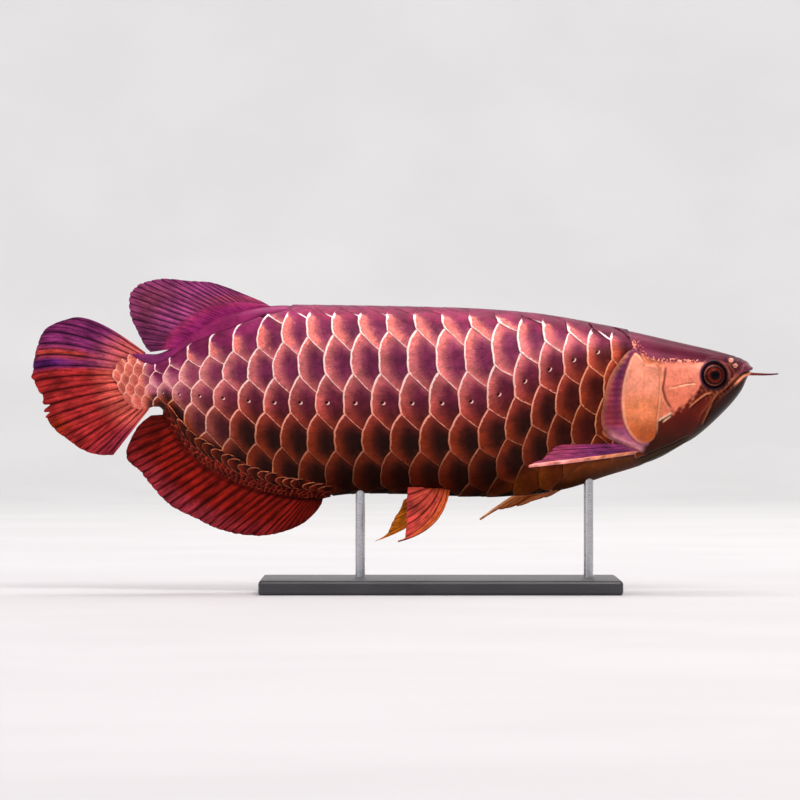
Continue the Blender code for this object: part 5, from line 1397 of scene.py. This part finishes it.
def make_fins():
    """All fins."""
    made = fin_material()
    fin("dorsal_fin_rays", median_rays(DORSAL_GUIDES, back_at), 27, dorsal_colours, made,
        sheath=2.6, sheath_reach=DORSAL_SHEATH, flutter=0.8, ragged=0.035, branch=(0.75, 0.9),
        per_ray=9, thickness=(1.15, 0.42), crest=1.4)
    fin("anal_fin_rays", median_rays(ANAL_GUIDES, belly_at), 33, anal_colours, made, per_ray=9,
        sheath=2.0, sheath_reach=((0, 1), (0.3, 4), (0.8, 5), (1, 3)), flutter=0.8, ragged=0.03,
        branch=(0.72, 0.9), thickness=(1.15, 0.5), crest=1.5)
    fin("caudal_fin_rays", tail_rays, 17, tail_colours, made, flutter=1.3, ragged=0.035,
        branch=(0.42, 0.75), per_ray=16, along=90, tatter=(0.5, 1.6),
        spikes=((0.364, 0.045, 0.012), (0.448, 0.05, 0.018), (0.5, 0.07, 0.014),
                (0.524, -0.07, 0.006), (0.543, 0.055, 0.009), (0.559, -0.08, 0.006),
                (0.576, 0.05, 0.01)), thickness=(1.1, 0.4), crest=3.0)
    fin("pectoral_fin_right_rays", paired_rays(PECTORAL_RIGHT, PECTORAL_LEAD[0], -1), 7, pectoral_near_colours,
        made, flutter=0.6, ragged=0.08, lead=1.6, per_ray=16, branch=(0.4, 0.7))
    fin("pectoral_fin_left_rays", paired_rays(PECTORAL_LEFT, PECTORAL_LEAD[1], 1), 7, pectoral_far_colours,
        made, flutter=0.6, ragged=0.03, lead=1.3, per_ray=16, branch=(0.4, 0.7))
    fin("pelvic_fin_right_rays", paired_rays(PELVIC_RIGHT, PELVIC_LEAD[0], -1), 6, pelvic_near_colours,
        made, flutter=0.4, ragged=0.03, lead=0.6, per_ray=20, branch=(0.3, 0.6))
    fin("pelvic_fin_left_rays", paired_rays(PELVIC_LEFT, PELVIC_LEAD[1], 1), 6, pelvic_far_colours,
        made, flutter=0.4, ragged=0.03, lead=0.6, per_ray=20, branch=(0.3, 0.6))


# ------------------------------------------------------------------ eyes, barbels, pores

def side_frame(s, h, side):
    """Point on the body's side and the direction out of it, in metres."""
    def spot(s_at, h_at):
        return to_world(np.array([s_at, side * float(half_breadth(s_at, h_at)), h_at]))

    out = unit(np.cross(spot(s + 1, h) - spot(s - 1, h), spot(s, h + 1) - spot(s, h - 1)))
    return spot(s, h), out if out[1] * side > 0 else -out


def make_eyes():
    """Eyeballs with pupil, rings of the iris and a bulging cornea."""
    made = eye_material()
    rings_at = ((0, "020308"), (2.7, "060409"), (3.1, "180406"), (3.9, "2c0806"), (4.5, "5c150c"),
                (5.5, "7c200f"), (6.4, "440e09"), (7.0, "200707"), (7.5, "2c0c08"), (7.9, "5a2a22"),
                (8.4, "84483c"), (8.8, "2c100c"), (9.6, "200b10"), (11, "2a1018"))
    reach_stops = np.array([r for r, _ in rings_at])
    stops = np.array([rgb(code) for _, code in rings_at])
    for side, word in ((-1, "right"), (1, "left")):
        place, look = side_frame(*EYE_PLACE, side)
        centre = place - look * (EYE_THICKNESS - EYE_PROUD) * MM
        turn = Vector(look).to_track_quat("Z", "Y").to_matrix()
        turn = np.array(turn)
        lat = np.linspace(0, math.pi, 65)
        lon = np.linspace(0, 2 * math.pi, 96, endpoint=False)
        a, b = np.meshgrid(lat[1:-1], lon, indexing="ij")
        reach = EYE_RADIUS * np.sin(a)
        depth = EYE_THICKNESS * np.cos(a)
        depth = depth + np.where(depth > 0, 0.9 * smooth_step(-reach, -8.5, -4.5), 0)
        local = np.stack([reach * np.cos(b), reach * np.sin(b), depth], -1).reshape(-1, 3)
        local = np.concatenate([local, [[0, 0, EYE_THICKNESS + 0.9], [0, 0, -EYE_THICKNESS]]])
        points = centre + (local * MM) @ turn.T
        rows, columns = a.shape
        i, k = np.meshgrid(np.arange(rows - 1), np.arange(columns), indexing="ij")
        p = (i * columns + k).ravel()
        q = (i * columns + (k + 1) % columns).ravel()
        faces = np.stack([p, p + columns, q + columns, q], 1).tolist()
        north, south = rows * columns, rows * columns + 1
        last = (rows - 1) * columns
        faces += [[north, k, (k + 1) % columns] for k in range(columns)]
        faces += [[south, last + (k + 1) % columns, last + k] for k in range(columns)]
        away = np.hypot(local[:, 0], local[:, 1])
        tint = np.stack([np.interp(away, reach_stops, stops[:, k]) for k in range(3)], 1)
        # Painted highlight and shade on the iris: the ring near 8.2 mm is brightened on one side and dimmed
        # elsewhere, and the ring near 5.4 mm is darkened away from that side
        lit = np.arctan2(local[:, 1], -side * local[:, 0])
        lit = np.maximum(ridge(lit - 2.3, 0.8), 0.5 * ridge(lit + 1.8, 0.8))
        tint = tint * (1 + ridge(away - 8.2, 1.2) * (1.5 * lit - 0.6))[:, None]
        tint = tint * (1 - 0.4 * ridge(away - 5.4, 1.6) * (1 - lit))[:, None]
        eye = build("eyeball_" + word, points, faces, made,
                    {"tint": tint, "turn": np.arctan2(local[:, 1], local[:, 0]), "reach": away})
        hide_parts("eye_" + word)


def tube_points(path, radii, sides=16):
    """Points and faces of a closed round solid along a path."""
    path = np.array(path, float)
    run = unit(np.gradient(path, axis=0))
    first = unit(np.cross(run, [0.13, 0.2, 1.0]))
    second = np.cross(run, first)
    angle = np.linspace(0, 2 * math.pi, sides, endpoint=False)
    around = (first[:, None] * np.cos(angle)[None, :, None]
              + second[:, None] * np.sin(angle)[None, :, None])
    points = (path[:, None] + around * np.array(radii)[:, None, None]).reshape(-1, 3)
    faces = []
    for i in range(len(path) - 1):
        for k in range(sides):
            j = (k + 1) % sides
            faces.append([i * sides + k, i * sides + j, (i + 1) * sides + j, (i + 1) * sides + k])
    faces.append(list(range(sides))[::-1])
    faces.append([(len(path) - 1) * sides + k for k in range(sides)])
    return points, faces


def make_barbels(made):
    """Two feelers at the tip of the lower jaw."""
    for side, word in ((-1, "right"), (1, "left")):
        t = np.linspace(0, 1, 46)
        reach = -4 + 29 * t
        ripple = 0.35 * np.sin(t * 9 + side)
        path = np.stack([2.6 - reach, side * (4.2 + 5 * t ** 1.5) + ripple * t,
                         22 - 1.2 * t + t ** 3 + 0.2 * np.sin(t * 7) * t], 1)
        radii = 1.45 * (1 - 0.6 * t) * (1 + 0.05 * np.sin(t * 70)) * np.where(t > 0.985, 0.6, 1)
        points, faces = tube_points(path, radii)
        share = np.repeat(t, 16)
        tint = blend(rgb("8a3a34") + np.zeros((len(points), 3)), rgb("4a1c2c"), share)
        piece = build("feeler_" + word, to_world(points), faces, made,
                      {"tint": tint, "fleck": np.zeros(len(points))})
        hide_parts("barbel_" + word)


# ------------------------------------------------------------------ stand and studio

def dress_stand():
    """Dark painted base and brushed steel rods."""
    made, tree, shader = material("stand_paint", 0.45, Coat_Weight=0.2, Coat_Roughness=0.3)
    grain = noise(tree, 900, 4)
    broad = noise(tree, 18, 3)
    colour = mix(tree, remap(tree, broad, 0.3, 0.7), (0.018, 0.018, 0.021), (0.03, 0.029, 0.032))
    link(tree, colour, shader, "Base Color")
    link(tree, remap(tree, grain, 0.3, 0.7, 0.38, 0.55), shader, "Roughness")
    bump(tree, shader, grain, 0.0002, 0.5)
    steel, tree, shader = material("stand_steel", 0.28, Metallic=1.0)
    stretch = node(tree, "ShaderNodeMapping", {
        "Vector": node(tree, "ShaderNodeTexCoord").outputs["Object"], "Scale": (1, 1, 26)})
    brushed = noise(tree, 160, 5, stretch.outputs[0], 0.7)
    link(tree, mix(tree, remap(tree, brushed, 0.3, 0.7), (0.5, 0.5, 0.52), (0.66, 0.66, 0.68)),
         shader, "Base Color")
    link(tree, remap(tree, brushed, 0.3, 0.7, 0.2, 0.38), shader, "Roughness")
    bump(tree, shader, brushed, 0.00005, 0.4)
    for name, coat in (("stand_base", made), ("stand_rod_front", steel),
                       ("stand_rod_rear", steel)):
        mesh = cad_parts[name].data
        mesh.materials.clear()
        mesh.materials.append(coat)


FRAME_WIDTH = 0.6694
CAMERA_AWAY = 5.0


def make_studio():
    """Pale floor that curves up into a pale backdrop, soft lights and the camera."""
    depth = [(-9.0, 0.0), (4.5, 0.0)]
    depth += [(4.5 + 2.5 * math.sin(a), 2.5 - 2.5 * math.cos(a))
              for a in np.radians(np.linspace(4, 90, 22))]
    depth += [(7.0, 7.0)]
    points = [(x, y, z) for y, z in depth for x in (-9.0, 9.0)]
    faces = [(2 * i, 2 * i + 1, 2 * i + 3, 2 * i + 2) for i in range(len(depth) - 1)]
    made, tree, shader = material("studio_paper", 0.8, Specular_IOR_Level=0.2)
    link(tree, mix(tree, remap(tree, noise(tree, 3, 3), 0.3, 0.7), (0.58, 0.57, 0.57),
                   (0.61, 0.6, 0.6)), shader, "Base Color")
    mesh = bpy.data.meshes.new("studio_floor")
    mesh.from_pydata(points, [], faces)
    mesh.materials.append(made)
    mesh.shade_smooth()
    floor = bpy.data.objects.new("studio_floor", mesh)
    bpy.context.scene.collection.objects.link(floor)
    for name, place, aim, size, power, colour in (
            ("key_light", (1.1, -3.1, 3.4), (0, 0, 0.16), 2.0, 130, (1.0, 0.95, 0.95)),
            ("top_light", (-0.2, 0.2, 3.8), (0, 0, 0.16), 2.0, 56, (1.0, 0.92, 0.95)),
            ("fill_light", (-3.4, -3.4, 1.7), (0, 0, 0.16), 2.4, 40, (0.97, 0.95, 1.0)),
            ("back_light", (2.6, 2.6, 2.2), (0, 0, 0.16), 1.8, 34, (1.0, 0.96, 0.92)),
            ("backdrop_light", (0, 3.0, 5.5), (0, 6.5, 0.8), 4.0, 260, (1.0, 1.0, 1.0))):
        light = bpy.data.lights.new(name, "AREA")
        light.shape = "SQUARE"
        light.size = size
        light.energy = power
        light.color = colour
        lamp = bpy.data.objects.new(name, light)
        lamp.location = place
        lamp.rotation_euler = (Vector(aim) - Vector(place)).to_track_quat("-Z", "Y").to_euler()
        lamp.visible_camera = False
        bpy.context.scene.collection.objects.link(lamp)
    world = bpy.data.worlds.new("studio_world")
    world.use_nodes = True
    back = world.node_tree.nodes["Background"]
    back.inputs["Color"].default_value = (0.95, 0.95, 0.97, 1)
    back.inputs["Strength"].default_value = 0.42
    bpy.context.scene.world = world
    bpy.context.scene.view_settings.view_transform = "Standard"
    view = bpy.data.cameras.new("camera")
    view.lens = CAMERA_AWAY * 36 / FRAME_WIDTH
    view.sensor_width = 36
    view.clip_end = 50
    camera = bpy.data.objects.new("camera", view)
    camera.location = (-0.0335, -CAMERA_AWAY, 0.1607)
    camera.rotation_euler = (math.pi / 2, 0, 0)
    bpy.context.scene.collection.objects.link(camera)
    bpy.context.scene.camera = camera


make_studio()
skin = make_skin()
make_scales()
make_pores()
make_fins()
make_eyes()
make_barbels(skin.data.materials[0])
dress_stand()
